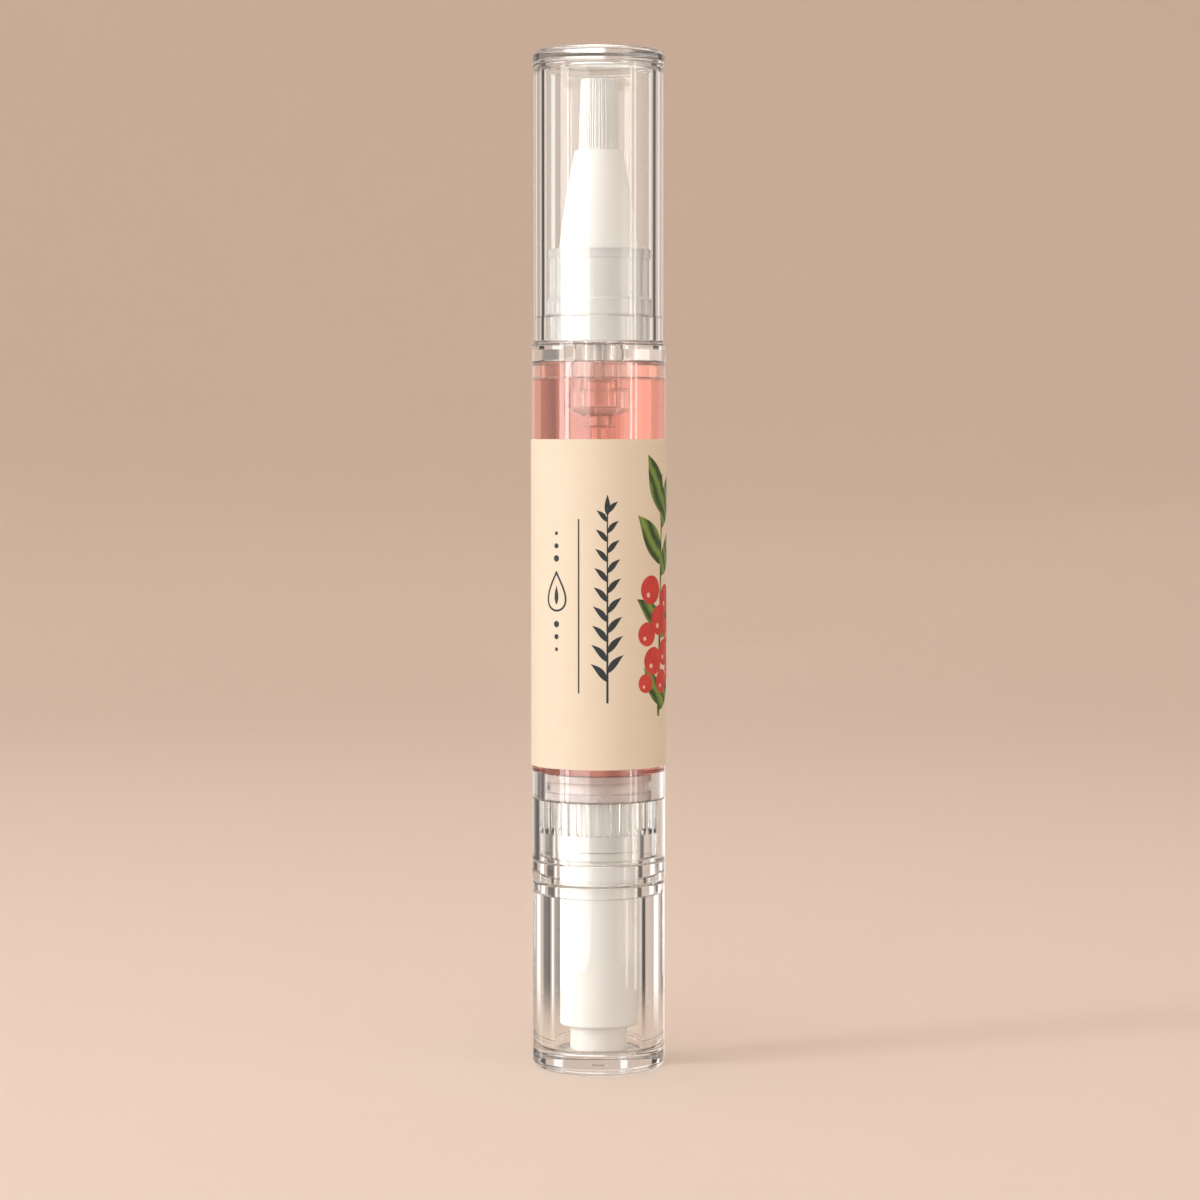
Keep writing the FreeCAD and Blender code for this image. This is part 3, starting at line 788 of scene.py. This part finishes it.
def make_housing(material):
    flange_r, foot_z, top_z = reach("insert_housing")
    flange_z = foot_z + HOUSING_FLANGE_HEIGHT
    shoulder_z = flange_z + HOUSING_SHOULDER
    rib_z = top_z - RIB_HEIGHT
    step = 2 * math.pi / RIB_COUNT

    def ribs(radius, height, angle):
        off = (angle + step / 2) % step - step / 2
        chord = off * HOUSING_SLEEVE_R
        if radius < HOUSING_SLEEVE_R - EDGE or height < rib_z + TINY or abs(chord) > RIB_GROOVE_R:
            return radius
        return min(radius, HOUSING_SLEEVE_R - math.sqrt(RIB_GROOVE_R ** 2 - chord ** 2))

    piece = lathe("housing_insert", rounded([
        (HOUSING_LOW_BORE_R, foot_z, FINE),
        (flange_r, foot_z, EDGE),
        (flange_r, flange_z, EDGE),
        (HOUSING_SLEEVE_R, flange_z, FINE),
        (HOUSING_SLEEVE_R, rib_z),
        (HOUSING_SLEEVE_R, rib_z + HOLD),
        (HOUSING_SLEEVE_R, top_z, FINE),
        (HOUSING_BORE_R, top_z, FINE),
        (HOUSING_BORE_R, shoulder_z, FINE),
        (HOUSING_LOW_BORE_R, shoulder_z, FINE),
    ]), segments=RIB_SEGMENTS, shape=ribs)
    dress(piece, material, "barrel", "clear_plastic", "insert_housing")


def make_knob(material):
    knob_r, _, top_z = reach("knob")
    groove_top_z = KNOB_GROOVE_Z + KNOB_GROOVE_HEIGHT
    groove_r = knob_r - KNOB_GROOVE_DEPTH
    gate_z = KNOB_RECESS_DEPTH - KNOB_GATE_HEIGHT
    grip_z = top_z - KNOB_GRIP_HEIGHT
    piece = lathe("knob_shell", rounded([
        (0, gate_z),
        (KNOB_GATE_R, gate_z, FINE),
        (KNOB_GATE_R, KNOB_RECESS_DEPTH, FINE),
        (KNOB_RECESS_R, KNOB_RECESS_DEPTH, EDGE),
        (KNOB_RECESS_R, 0, EDGE),
        (knob_r, 0, KNOB_FOOT_ROUND),
        (knob_r, KNOB_GROOVE_Z, FINE),
        (groove_r, KNOB_GROOVE_Z, FINE),
        (groove_r, groove_top_z, FINE),
        (knob_r, groove_top_z, FINE),
        (knob_r, top_z, EDGE),
        (KNOB_GRIP_R, top_z, FINE),
        (KNOB_GRIP_R, grip_z, FINE),
        (KNOB_BORE_R, grip_z, FINE),
        (KNOB_BORE_R, KNOB_FLOOR, KNOB_FLOOR_ROUND),
        (0, KNOB_FLOOR),
    ]))
    dress(piece, material, "knob", "clear_plastic", "knob")


def make_core(material):
    collar_r, foot_z, top_z = reach("drive_core")
    sleeve_z = foot_z + CORE_FOOT_HEIGHT
    neck_z = top_z - CORE_NECK_HEIGHT
    collar_z = neck_z - CORE_COLLAR_HEIGHT
    piece = lathe("core_sleeve", rounded([
        (0, foot_z),
        (CORE_FOOT_R, foot_z, EDGE),
        (CORE_FOOT_R, sleeve_z, FINE),
        (CORE_R, sleeve_z, CORE_FOOT_ROUND),
        (CORE_R, collar_z, FINE),
        (collar_r, collar_z, FINE),
        (collar_r, neck_z, FINE),
        (CORE_NECK_R, neck_z, FINE),
        (CORE_NECK_R, top_z, FINE),
        (CORE_BORE_R, top_z, FINE),
        (CORE_BORE_R, foot_z + CORE_FLOOR, FINE),
        (0, foot_z + CORE_FLOOR),
    ]))
    dress(piece, material, "knob", "white_plastic", "drive_core")


def piston_cup():
    """Radius and floor of the cup in the piston's top."""
    lip_r, _, top_z = reach("piston")
    return lip_r - PISTON_LIP_WALL, top_z - PISTON_CUP_DEPTH


def make_piston(material):
    lip_r, foot_z, top_z = reach("piston")
    waist_r = lip_r - PISTON_WAIST
    cup_r, cup_z = piston_cup()
    piece = lathe("piston_plug", rounded([
        (0, foot_z),
        (lip_r, foot_z, EDGE),
        (lip_r, foot_z + PISTON_LIP_HEIGHT, FINE),
        (waist_r, foot_z + PISTON_LIP_HEIGHT, EDGE),
        (waist_r, top_z - PISTON_LIP_HEIGHT, EDGE),
        (lip_r, top_z - PISTON_LIP_HEIGHT, FINE),
        (lip_r, top_z, EDGE),
        (cup_r, top_z, EDGE),
        (cup_r, cup_z, EDGE),
        (PISTON_BOSS_R, cup_z, EDGE),
        (PISTON_BOSS_R, top_z - PISTON_BOSS_DEPTH, EDGE),
        (0, top_z - PISTON_BOSS_DEPTH),
    ]))
    dress(piece, material, "piston", "piston_plastic", "piston")


def nozzle_flank(base_z, tip_z):
    """The cone's bulged flank, from its base to its tip."""
    points = []
    for step in range(NOZZLE_STEPS + 1):
        share = step / NOZZLE_STEPS
        radius = NOZZLE_BASE_R + (NOZZLE_TIP_R - NOZZLE_BASE_R) * share
        radius += 4 * NOZZLE_BULGE * share * (1 - share)
        points.append((radius, base_z + (tip_z - base_z) * share))
    return points


def make_nozzle(material):
    _, shank_z, tip_z = reach("brush_nozzle")
    base_z = tip_z - NOZZLE_HEIGHT
    flank = nozzle_flank(base_z, tip_z)
    socket_z = tip_z - NOZZLE_SOCKET_DEPTH
    foot = [
        (NOZZLE_SHANK_BORE_R, shank_z, FINE),
        (NOZZLE_SHANK_R, shank_z, EDGE),
        (NOZZLE_SHANK_R, base_z, FINE),
        (*flank[0], FINE),
    ]
    tip = [
        (*flank[-1], 2 * FINE),
        (NOZZLE_SOCKET_R, tip_z, FINE),
        (NOZZLE_SOCKET_R, socket_z),
        (0, socket_z),
        (0, tip_z - NOZZLE_FLOOR_DEPTH),
        (NOZZLE_SHANK_BORE_R, tip_z - NOZZLE_FLOOR_DEPTH),
    ]
    piece = lathe("nozzle_cone", rounded(foot + flank[1:-1] + tip))
    dress(piece, material, "barrel", "white_plastic", "brush_nozzle")


def filament_line(draw, share, bearing, root_z, tip_z):
    """The centre line of one filament: straight up, drawn in a little, with a stray lean at its tip."""
    length = tip_z - root_z - draw.random() ** 2 * FILAMENT_RAGGED
    lean = draw.uniform(-FILAMENT_STRAY, FILAMENT_STRAY)
    points = []
    for ring in range(FILAMENT_RINGS):
        up = ring / (FILAMENT_RINGS - 1)
        edge = BRUSH_ROOT_R + (BRUSH_TIP_R - BRUSH_ROOT_R) * up - FILAMENT_R
        radius = edge * math.sqrt(share)
        turn = bearing + lean * up * up / max(radius, FILAMENT_R)
        points.append((radius * math.cos(turn), radius * math.sin(turn), root_z + length * up))
    return points


def make_brush(material):
    draw = random.Random(BRUSH_SEED)
    _, _, tip_z = reach("brush")
    root_z = reach("brush_nozzle")[2] - BRUSH_ROOT_DEPTH
    golden_angle = math.pi * (3 - math.sqrt(5))
    vertices = []
    faces = []
    for i in range(FILAMENT_COUNT):
        share = (i + 0.5) / FILAMENT_COUNT
        centres = filament_line(draw, share, i * golden_angle, root_z, tip_z)
        rings = []
        for x, y, z in centres:
            start = len(vertices)
            for side in range(FILAMENT_SIDES):
                angle = 2 * math.pi * side / FILAMENT_SIDES
                px = x + FILAMENT_R * math.cos(angle)
                py = y + FILAMENT_R * math.sin(angle)
                vertices.append((px * MM, py * MM, z * MM))
            rings.append(list(range(start, start + FILAMENT_SIDES)))
        for ring, following in zip(rings, rings[1:]):
            faces.extend(band(ring, following))
        faces.append(tuple(reversed(rings[0])))
        faces.append(tuple(rings[-1]))
    piece = new_piece("brush_tuft", vertices, faces)
    dress(piece, material, "barrel", "brush_filament", "brush")


def reducer_heights():
    """Heights of the reducer's neck, bulb and funnel."""
    neck_z = reach("barrel")[2] - REDUCER_NECK_HEIGHT
    bulb_z = neck_z - REDUCER_BULB_HEIGHT
    return neck_z, bulb_z, bulb_z - REDUCER_FUNNEL_HEIGHT


def make_reducer(material):
    _, foot_z, top_z = reach("flow_reducer")
    barrel_top_z = reach("barrel")[2]
    neck_z, bulb_z, funnel_z = reducer_heights()
    seat_z = foot_z + DIP_SEAT_DEPTH
    chamber_z = bulb_z + CHAMBER_LIFT
    chamber_top_z = chamber_z + CHAMBER_HEIGHT
    piece = lathe("reducer_bulb", rounded([
        (DIP_SEAT_R, foot_z),
        (REDUCER_NIPPLE_R, foot_z, REDUCER_NIPPLE_ROUND),
        (REDUCER_NIPPLE_R, funnel_z, EDGE),
        (REDUCER_BULB_R, bulb_z, REDUCER_BULB_ROUND),
        (REDUCER_BULB_R, neck_z, REDUCER_SHOULDER_ROUND),
        (REDUCER_NECK_R, neck_z, FINE),
        (REDUCER_NECK_R, barrel_top_z, FINE),
        (REDUCER_STEM_R, barrel_top_z, FINE),
        (REDUCER_STEM_R, top_z, FINE),
        (REDUCER_BORE_R, top_z),
        (REDUCER_BORE_R, chamber_top_z),
        (CHAMBER_R, chamber_top_z, CHAMBER_ROUND),
        (CHAMBER_R, chamber_z, EDGE),
        (REDUCER_BORE_R, chamber_z),
        (REDUCER_BORE_R, seat_z),
        (DIP_SEAT_R, seat_z),
    ]))
    dress(piece, material, "barrel", "hazy_plastic", "flow_reducer")


def make_dip_tube(material):
    dip_r, foot_z, top_z = reach("dip_tube")
    piece = lathe("dip_straw", rounded([
        (DIP_BORE_R, foot_z, FINE),
        (dip_r, foot_z, FINE),
        (dip_r, top_z, FINE),
        (DIP_BORE_R, top_z, FINE),
    ]))
    dress(piece, material, "barrel", "hazy_plastic", "dip_tube")


def oil_outlines():
    """The oil in the barrel, round the reducer and the tube, and the oil in the reducer's chamber."""
    skin = OIL_OVERLAP
    lip_z = reach("piston")[2]
    cup_r, cup_z = piston_cup()
    boss_r = PISTON_BOSS_R - skin
    foot_z = lip_z + 2 * skin
    boss_z = lip_z - PISTON_BOSS_DEPTH - skin
    skirt_z = reach("collar")[1] + skin
    barrel_r, _, top_z = reach("barrel")
    nipple_z = reach("flow_reducer")[1] + skin
    dip_r, dip_z, dip_top_z = reach("dip_tube")
    fill_r = barrel_r - BARREL_WALL + skin
    skirt_r = barrel_r - BARREL_WALL - COLLAR_SKIRT_WALL + skin
    neck_z, bulb_z, funnel_z = reducer_heights()
    chamber_z = bulb_z + CHAMBER_LIFT - skin
    chamber_top_z = chamber_z + CHAMBER_HEIGHT + 2 * skin
    fill = rounded([
        (0, boss_z),
        (boss_r, boss_z, EDGE),
        (boss_r, cup_z - skin, EDGE),
        (cup_r + skin, cup_z - skin, EDGE),
        (cup_r + skin, foot_z, FINE),
        (fill_r, foot_z),
        (fill_r, skirt_z),
        (skirt_r, skirt_z),
        (skirt_r, top_z + 2 * skin),
        (REDUCER_NECK_R - skin, top_z + 2 * skin),
        (REDUCER_NECK_R - skin, neck_z - skin),
        (REDUCER_BULB_R - skin, neck_z - skin, REDUCER_SHOULDER_ROUND),
        (REDUCER_BULB_R - skin, bulb_z + skin, REDUCER_BULB_ROUND),
        (REDUCER_NIPPLE_R - skin, funnel_z + skin, EDGE),
        (REDUCER_NIPPLE_R - skin, nipple_z),
        (dip_r - skin, nipple_z),
        (dip_r - skin, dip_z + skin),
        (0, dip_z + skin),
    ])
    chamber = rounded([
        (0, dip_z + 2 * skin),
        (DIP_BORE_R + skin, dip_z + 2 * skin),
        (DIP_BORE_R + skin, dip_top_z),
        (REDUCER_BORE_R + skin, dip_top_z),
        (REDUCER_BORE_R + skin, chamber_z),
        (CHAMBER_R + skin, chamber_z, EDGE),
        (CHAMBER_R + skin, chamber_top_z, CHAMBER_ROUND),
        (0, chamber_top_z),
    ])
    return fill, chamber


def make_oil(material):
    piece = lathe("oil_fill", *oil_outlines())
    piece.data.materials.append(material)
    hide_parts("oil")
    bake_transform(piece)


def make_label(material):
    _, foot_z, top_z = reach("label")
    inner_r = reach("barrel")[0] + LABEL_GLUE
    gap = LABEL_SEAM / paper_r / 2
    section = [(inner_r, foot_z), (paper_r, foot_z), (paper_r, top_z), (inner_r, top_z)]
    corners = len(section)
    vertices = []
    faces = []
    for k in range(SEGMENTS + 1):
        angle = math.pi / 2 + gap + (2 * math.pi - 2 * gap) * k / SEGMENTS
        for radius, height in section:
            vertices.append((radius * MM * math.cos(angle), radius * MM * math.sin(angle), height * MM))
    for k in range(SEGMENTS):
        here = corners * k
        there = here + corners
        for side in range(corners):
            after = (side + 1) % corners
            faces.append((here + side, here + after, there + after, there + side))
    faces.append(tuple(reversed(range(corners))))
    faces.append(tuple(corners * SEGMENTS + side for side in range(corners)))
    piece = new_piece("paper_wrap", vertices, faces)
    dress(piece, material, "barrel", "label_paper", "label")


def on_label(u, v, lift):
    """A place u mm round from the label's front and v mm up, lifted off the paper."""
    angle = u / paper_r - math.pi / 2
    radius = (paper_r + lift) * MM
    return radius * math.cos(angle), radius * math.sin(angle), v * MM


def ribbon(path, half_widths, across, closed=False):
    """Rows of (u, v) points along a path, as wide as half_widths says."""
    rows = []
    last = len(path) - 1
    for i, (u, v) in enumerate(path):
        before = path[i - 1] if i or closed else path[i]
        after = path[(i + 1) % len(path)] if i < last or closed else path[i]
        along = Vector((after[0] - before[0], after[1] - before[1])).normalized()
        row = []
        for k in range(across + 1):
            off = half_widths[i] * (2 * k / across - 1)
            row.append((u - along.y * off, v + along.x * off))
        rows.append(row)
    if closed:
        rows.append(rows[0])
    return rows


def line(start, end, width, taper=0.0):
    """A straight stroke, thinner by its taper towards the end."""
    count = max(2, int(math.dist(start, end) / INK_STEP))
    path = []
    half_widths = []
    for i in range(count + 1):
        share = i / count
        path.append((start[0] + (end[0] - start[0]) * share, start[1] + (end[1] - start[1]) * share))
        half_widths.append(width / 2 * (1 - taper * share))
    return ribbon(path, half_widths, STROKE_ACROSS)


def leaf(root, heading_deg, length, width, bend=0.0):
    """A pointed leaf that grows from its root, bent sideways by a share of its length."""
    steps = max(LEAF_STEPS_MIN, int(length / INK_STEP))
    turn = math.radians(heading_deg)
    path = []
    half_widths = []
    for i in range(steps + 1):
        share = i / steps
        side = bend * length * math.sin(math.pi * share) / 2
        along = length * share
        path.append((root[0] + along * math.sin(turn) + side * math.cos(turn),
                     root[1] + along * math.cos(turn) - side * math.sin(turn)))
        half_widths.append(max(width / 2 * math.sin(math.pi * share ** LEAF_BELLY_POWER), INK_POINT))
    return ribbon(path, half_widths, max(LEAF_ACROSS_MIN, int(width / INK_STEP)))


def disc(centre, radius):
    """A filled round spot."""
    across = int(2 * radius / INK_STEP)
    steps = max(DISC_STEPS_MIN, 2 * across)
    path = []
    half_widths = []
    for i in range(steps + 1):
        angle = math.pi * i / steps
        path.append((centre[0], centre[1] - radius * math.cos(angle)))
        half_widths.append(max(radius * math.sin(angle), INK_POINT))
    return ribbon(path, half_widths, max(DISC_ACROSS_MIN, across))


def print_piece(name, material, shapes, lift):
    """Thin ink on the label: each shape is a grid of (u, v) points with its lower side in the paper."""
    vertices = []
    faces = []
    for rows in shapes:
        start = len(vertices)
        wide = len(rows[0])
        size = wide * len(rows)
        for height in (lift, -INK_SINK):
            for row in rows:
                vertices.extend(on_label(u, v, height) for u, v in row)
        rim = [(i, 0) for i in range(len(rows))]
        rim += [(len(rows) - 1, k) for k in range(1, wide)]
        rim += [(i, wide - 1) for i in range(len(rows) - 2, -1, -1)]
        rim += [(0, k) for k in range(wide - 2, 0, -1)]
        for i in range(len(rows) - 1):
            for k in range(wide - 1):
                a = start + i * wide + k
                quad = (a, a + 1, a + wide + 1, a + wide)
                faces.append(quad)
                faces.append(tuple(size + v for v in reversed(quad)))
        for here, there in zip(rim, rim[1:] + rim[:1]):
            a = start + here[0] * wide + here[1]
            b = start + there[0] * wide + there[1]
            faces.append((a, b, b + size, a + size))
    piece = new_piece(name, vertices, faces)
    dress(piece, material, "barrel", "label_paper")


def drop_outline():
    """Points round a drop with its tip at the top."""
    path = []
    for i in range(DROP_STEPS):
        angle = 2 * math.pi * i / DROP_STEPS
        pinch = math.sin(angle / 2) ** DROP_PINCH_POWER
        off = DROP_SIZE * DROP_WIDTH_SHARE * math.sin(angle) * pinch
        path.append((DROP_U + off, DROP_V + DROP_SIZE * math.cos(angle)))
    return path


def make_rule_and_drop(material):
    """The upright rule, and the drop at its left between two rows of dots."""
    shapes = [line((RULE_U, RULE_LOW), (RULE_U, RULE_HIGH), RULE_WIDTH)]
    half_widths = [DROP_LINE_HALF_WIDTH] * DROP_STEPS
    shapes.append(ribbon(drop_outline(), half_widths, STROKE_ACROSS, closed=True))
    shapes.append(leaf((DROP_U, DROP_V - DROP_SEED_SINK), 0, DROP_SEED_LENGTH, DROP_SEED_WIDTH))
    for i in range(DOT_COUNT):
        away = DOT_START + DOT_STEP * i
        radius = DOT_R - DOT_SHRINK * i
        shapes.append(disc((DROP_U, DROP_V - away), radius))
        shapes.append(disc((DROP_U, DROP_V + away), radius))
    print_piece("print_drop", material, shapes, INK_LIFT)


def make_sprig(material):
    """The slate sprig: a stem with pairs of leaves that get smaller towards its tip."""
    foot = (SPRIG_U, SPRIG_LOW)
    stem_end = (SPRIG_U, SPRIG_HIGH - SPRIG_STEM_STOP)
    shapes = [line(foot, stem_end, SPRIG_STEM_WIDTH, SPRIG_STEM_TAPER_SHARE)]
    span = SPRIG_HIGH - SPRIG_LOW - SPRIG_LEAFLESS
    for i in range(SPRIG_PAIRS):
        share = i / (SPRIG_PAIRS - 1)
        v = SPRIG_LOW + SPRIG_BARE + span * share
        length = SPRIG_LEAF_LENGTH - SPRIG_LEAF_SHORTENING * share
        width = SPRIG_LEAF_WIDTH - SPRIG_LEAF_NARROWING * share
        left = (SPRIG_U - SPRIG_OFF, v)
        right = (SPRIG_U + SPRIG_OFF, v + SPRIG_STAGGER)
        shapes.append(leaf(left, -SPRIG_LEAF_DEG, length, width, SPRIG_BEND_SHARE))
        shapes.append(leaf(right, SPRIG_LEAF_DEG, length, width, -SPRIG_BEND_SHARE))
    shapes.append(leaf((SPRIG_U, SPRIG_HIGH - SPRIG_TIP_LENGTH), 0, SPRIG_TIP_LENGTH, SPRIG_TIP_WIDTH))
    print_piece("print_sprig", material, shapes, INK_LIFT)


def make_spray(leaf_ink, berry_ink, seed_ink):
    """The coloured spray at the label's right: broad leaves above, berries in the middle."""
    foot = (SPRAY_U + SPRAY_FOOT_OFF, SPRAY_LOW)
    stem_end = (SPRAY_U + SPRAY_TOP_OFF, SPRAY_HIGH - SPRAY_STEM_STOP)
    stem = [line(foot, stem_end, SPRAY_STEM_WIDTH, SPRAY_STEM_TAPER_SHARE)]
    for off, v, heading, length, width in SPRAY_LEAVES:
        bend = SPRAY_BEND_SHARE if heading < 0 else -SPRAY_BEND_SHARE
        stem.append(leaf((SPRAY_U + off, v), heading, length, width, bend))
    print_piece("print_leaves", leaf_ink, stem, INK_LIFT)
    berries = []
    seeds = []
    for off, v, radius in SPRAY_BERRIES:
        u = SPRAY_U + off
        berries.append(disc((u, v), radius))
        seeds.append(disc((u - SEED_OFF_SHARE * radius, v - SEED_DROP_SHARE * radius), SEED_R_SHARE * radius))
    print_piece("print_berries", berry_ink, berries, INK_TOP_LIFT)
    print_piece("print_seeds", seed_ink, seeds, INK_TOP_LIFT + INK_SINK)


def finish_nodes(material, *names):
    """CAD nodes that stay as they are get a worked material."""
    for name in names:
        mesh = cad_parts[name].data
        mesh.materials.clear()
        mesh.materials.append(material)


# Stage


def make_bowl():
    """A pale floor that sweeps up into a round wall, the same from all sides."""
    cove = BOWL_WALL_R - BOWL_FLOOR_R
    outline = [(0, 0), (BOWL_FLOOR_R / MM, 0)]
    for step in range(1, BOWL_STEPS + 1):
        angle = math.pi / 2 * step / BOWL_STEPS
        radius = BOWL_FLOOR_R + cove * math.sin(angle)
        outline.append((radius / MM, cove * (1 - math.cos(angle)) / MM))
    outline.append((BOWL_WALL_R / MM, BOWL_HEIGHT / MM))
    vertices, rings = spin(outline, SEGMENTS)
    faces = []
    for ring, following in zip(rings, rings[1:]):
        faces.extend(tuple(reversed(face)) for face in band(ring, following))
    bowl = new_piece("bowl", vertices, faces)
    bowl.data.materials.append(backdrop())
    bowl.visible_glossy = False


def facing(azimuth_deg, distance, height, aim_z):
    """A place round the pen, with its back to the outside. Azimuth 0 is the camera's side, minus is left."""
    turn = math.radians(azimuth_deg)
    place = Vector((distance * math.sin(turn), -distance * math.cos(turn), height))
    aim = Vector((0, 0, aim_z)) - place
    return Matrix.Translation(place) @ aim.to_track_quat("-Z", "Y").to_matrix().to_4x4()


def lamp(name, azimuth_deg, distance, height, aim_z, width, tall, radiance, colour):
    """A soft box that the camera doesn't see."""
    light = bpy.data.lights.new(name, "AREA")
    light.shape = "RECTANGLE"
    light.size = width
    light.size_y = tall
    light.energy = LAMP_POWER * width * tall * radiance
    light.color = colour
    lamp_object = bpy.data.objects.new(name, light)
    bpy.context.scene.collection.objects.link(lamp_object)
    lamp_object.matrix_world = facing(azimuth_deg, distance, height, aim_z)
    lamp_object.visible_camera = False
    lamp_object.visible_glossy = name not in LAMPS_NOT_REFLECTED


def card(name, azimuth_deg, width_deg, row, colour, radiance, distance):
    """A card behind the pen, seen only in the clear pieces, where it draws their bright and dark lines."""
    half_w = distance * math.tan(math.radians(width_deg / 2))
    low, high = row
    corners = [(-half_w, low, 0), (half_w, low, 0), (half_w, high, 0), (-half_w, high, 0)]
    piece = new_piece(name, corners, [(0, 1, 2, 3)], smooth=False)
    piece.matrix_world = facing(azimuth_deg, distance, 0.0, 0.0)
    piece.data.materials.append(card_material(name, half_w, colour, radiance))
    hide_card(piece)


def hide_card(piece):
    """Leaves a card to be seen by gloss and through clear pieces alone."""
    piece.visible_camera = False
    piece.visible_shadow = False
    piece.visible_diffuse = False


def make_top_glow():
    """A sheet above the pen that only gloss shows, for the lines along upper edges."""
    half = TOP_GLOW_SIZE / 2
    corners = [(-half, -half, 0), (half, -half, 0), (half, half, 0), (-half, half, 0)]
    piece = new_piece("top_glow", corners, [(0, 3, 2, 1)], smooth=False)
    piece.location = (0, 0, TOP_GLOW_Z)
    piece.data.materials.append(card_material("top_glow", half, TOP_GLOW_COLOUR, TOP_GLOW_RADIANCE))
    piece.visible_transmission = False
    hide_card(piece)


def make_world():
    world = bpy.data.worlds.new("studio")
    world.use_nodes = True
    background = world.node_tree.nodes["Background"]
    background.inputs["Color"].default_value = (*WORLD_COLOUR, 1)
    background.inputs["Strength"].default_value = 1.0
    bpy.context.scene.world = world


def make_camera():
    camera = bpy.data.cameras.new("camera")
    camera.sensor_width = CAMERA_SENSOR_MM
    camera.lens = CAMERA_LENS_MM
    camera.clip_start = CAMERA_NEAR
    camera_object = bpy.data.objects.new("camera", camera)
    bpy.context.scene.collection.objects.link(camera_object)
    camera_object.location = (0, -CAMERA_DISTANCE, CAMERA_HEIGHT)
    camera_object.rotation_euler = (math.radians(90 - CAMERA_PITCH_DEG), 0, math.radians(CAMERA_YAW_DEG))
    bpy.context.scene.camera = camera_object


def make_pen():
    clear = clear_plastic()
    hazy = hazy_plastic()
    bulb = bulb_plastic()
    white = white_plastic()
    make_cap(clear)
    make_barrel(clear)
    make_housing(clear)
    make_knob(clear)
    make_collar(collar_plastic(reach("barrel")[2] + COLLAR_FLANGE_HEIGHT))
    make_reducer(bulb)
    make_dip_tube(bulb)
    make_core(white)
    make_nozzle(white)
    make_piston(piston_plastic(*piston_cup()))
    make_brush(filament())
    make_oil(coral_oil())
    make_label(label_paper())
    slate = ink("slate_ink", (0.016, 0.03, 0.038), (0.03, 0.05, 0.06), 1400)
    berry = ink("berry_ink", (0.5, 0.02, 0.018), (0.72, 0.075, 0.055), 700)
    seed = ink("seed_ink", (0.78, 0.5, 0.42), (0.9, 0.66, 0.56), 900)
    make_rule_and_drop(slate)
    make_sprig(slate)
    make_spray(striped_ink("leaf_ink", (0.012, 0.05, 0.012), (0.2, 0.34, 0.055)), berry, seed)
    finish_nodes(white, "drive_nut", "lead_screw", "pawl_ring", "ratchet_ring", "screw_guide")
    finish_nodes(hazy, "feed_tube")


def set_render():
    scene = bpy.context.scene
    scene.view_settings.view_transform = "Standard"
    scene.cycles.max_bounces = LIGHT_BOUNCES
    scene.cycles.transmission_bounces = LIGHT_BOUNCES
    scene.cycles.glossy_bounces = GLOSS_BOUNCES
    scene.cycles.transparent_max_bounces = CLEAR_LAYERS


make_pen()
make_bowl()
for row in LAMPS:
    lamp(*row)
for row in CARDS:
    card(*row)
make_top_glow()
make_world()
make_camera()
set_render()
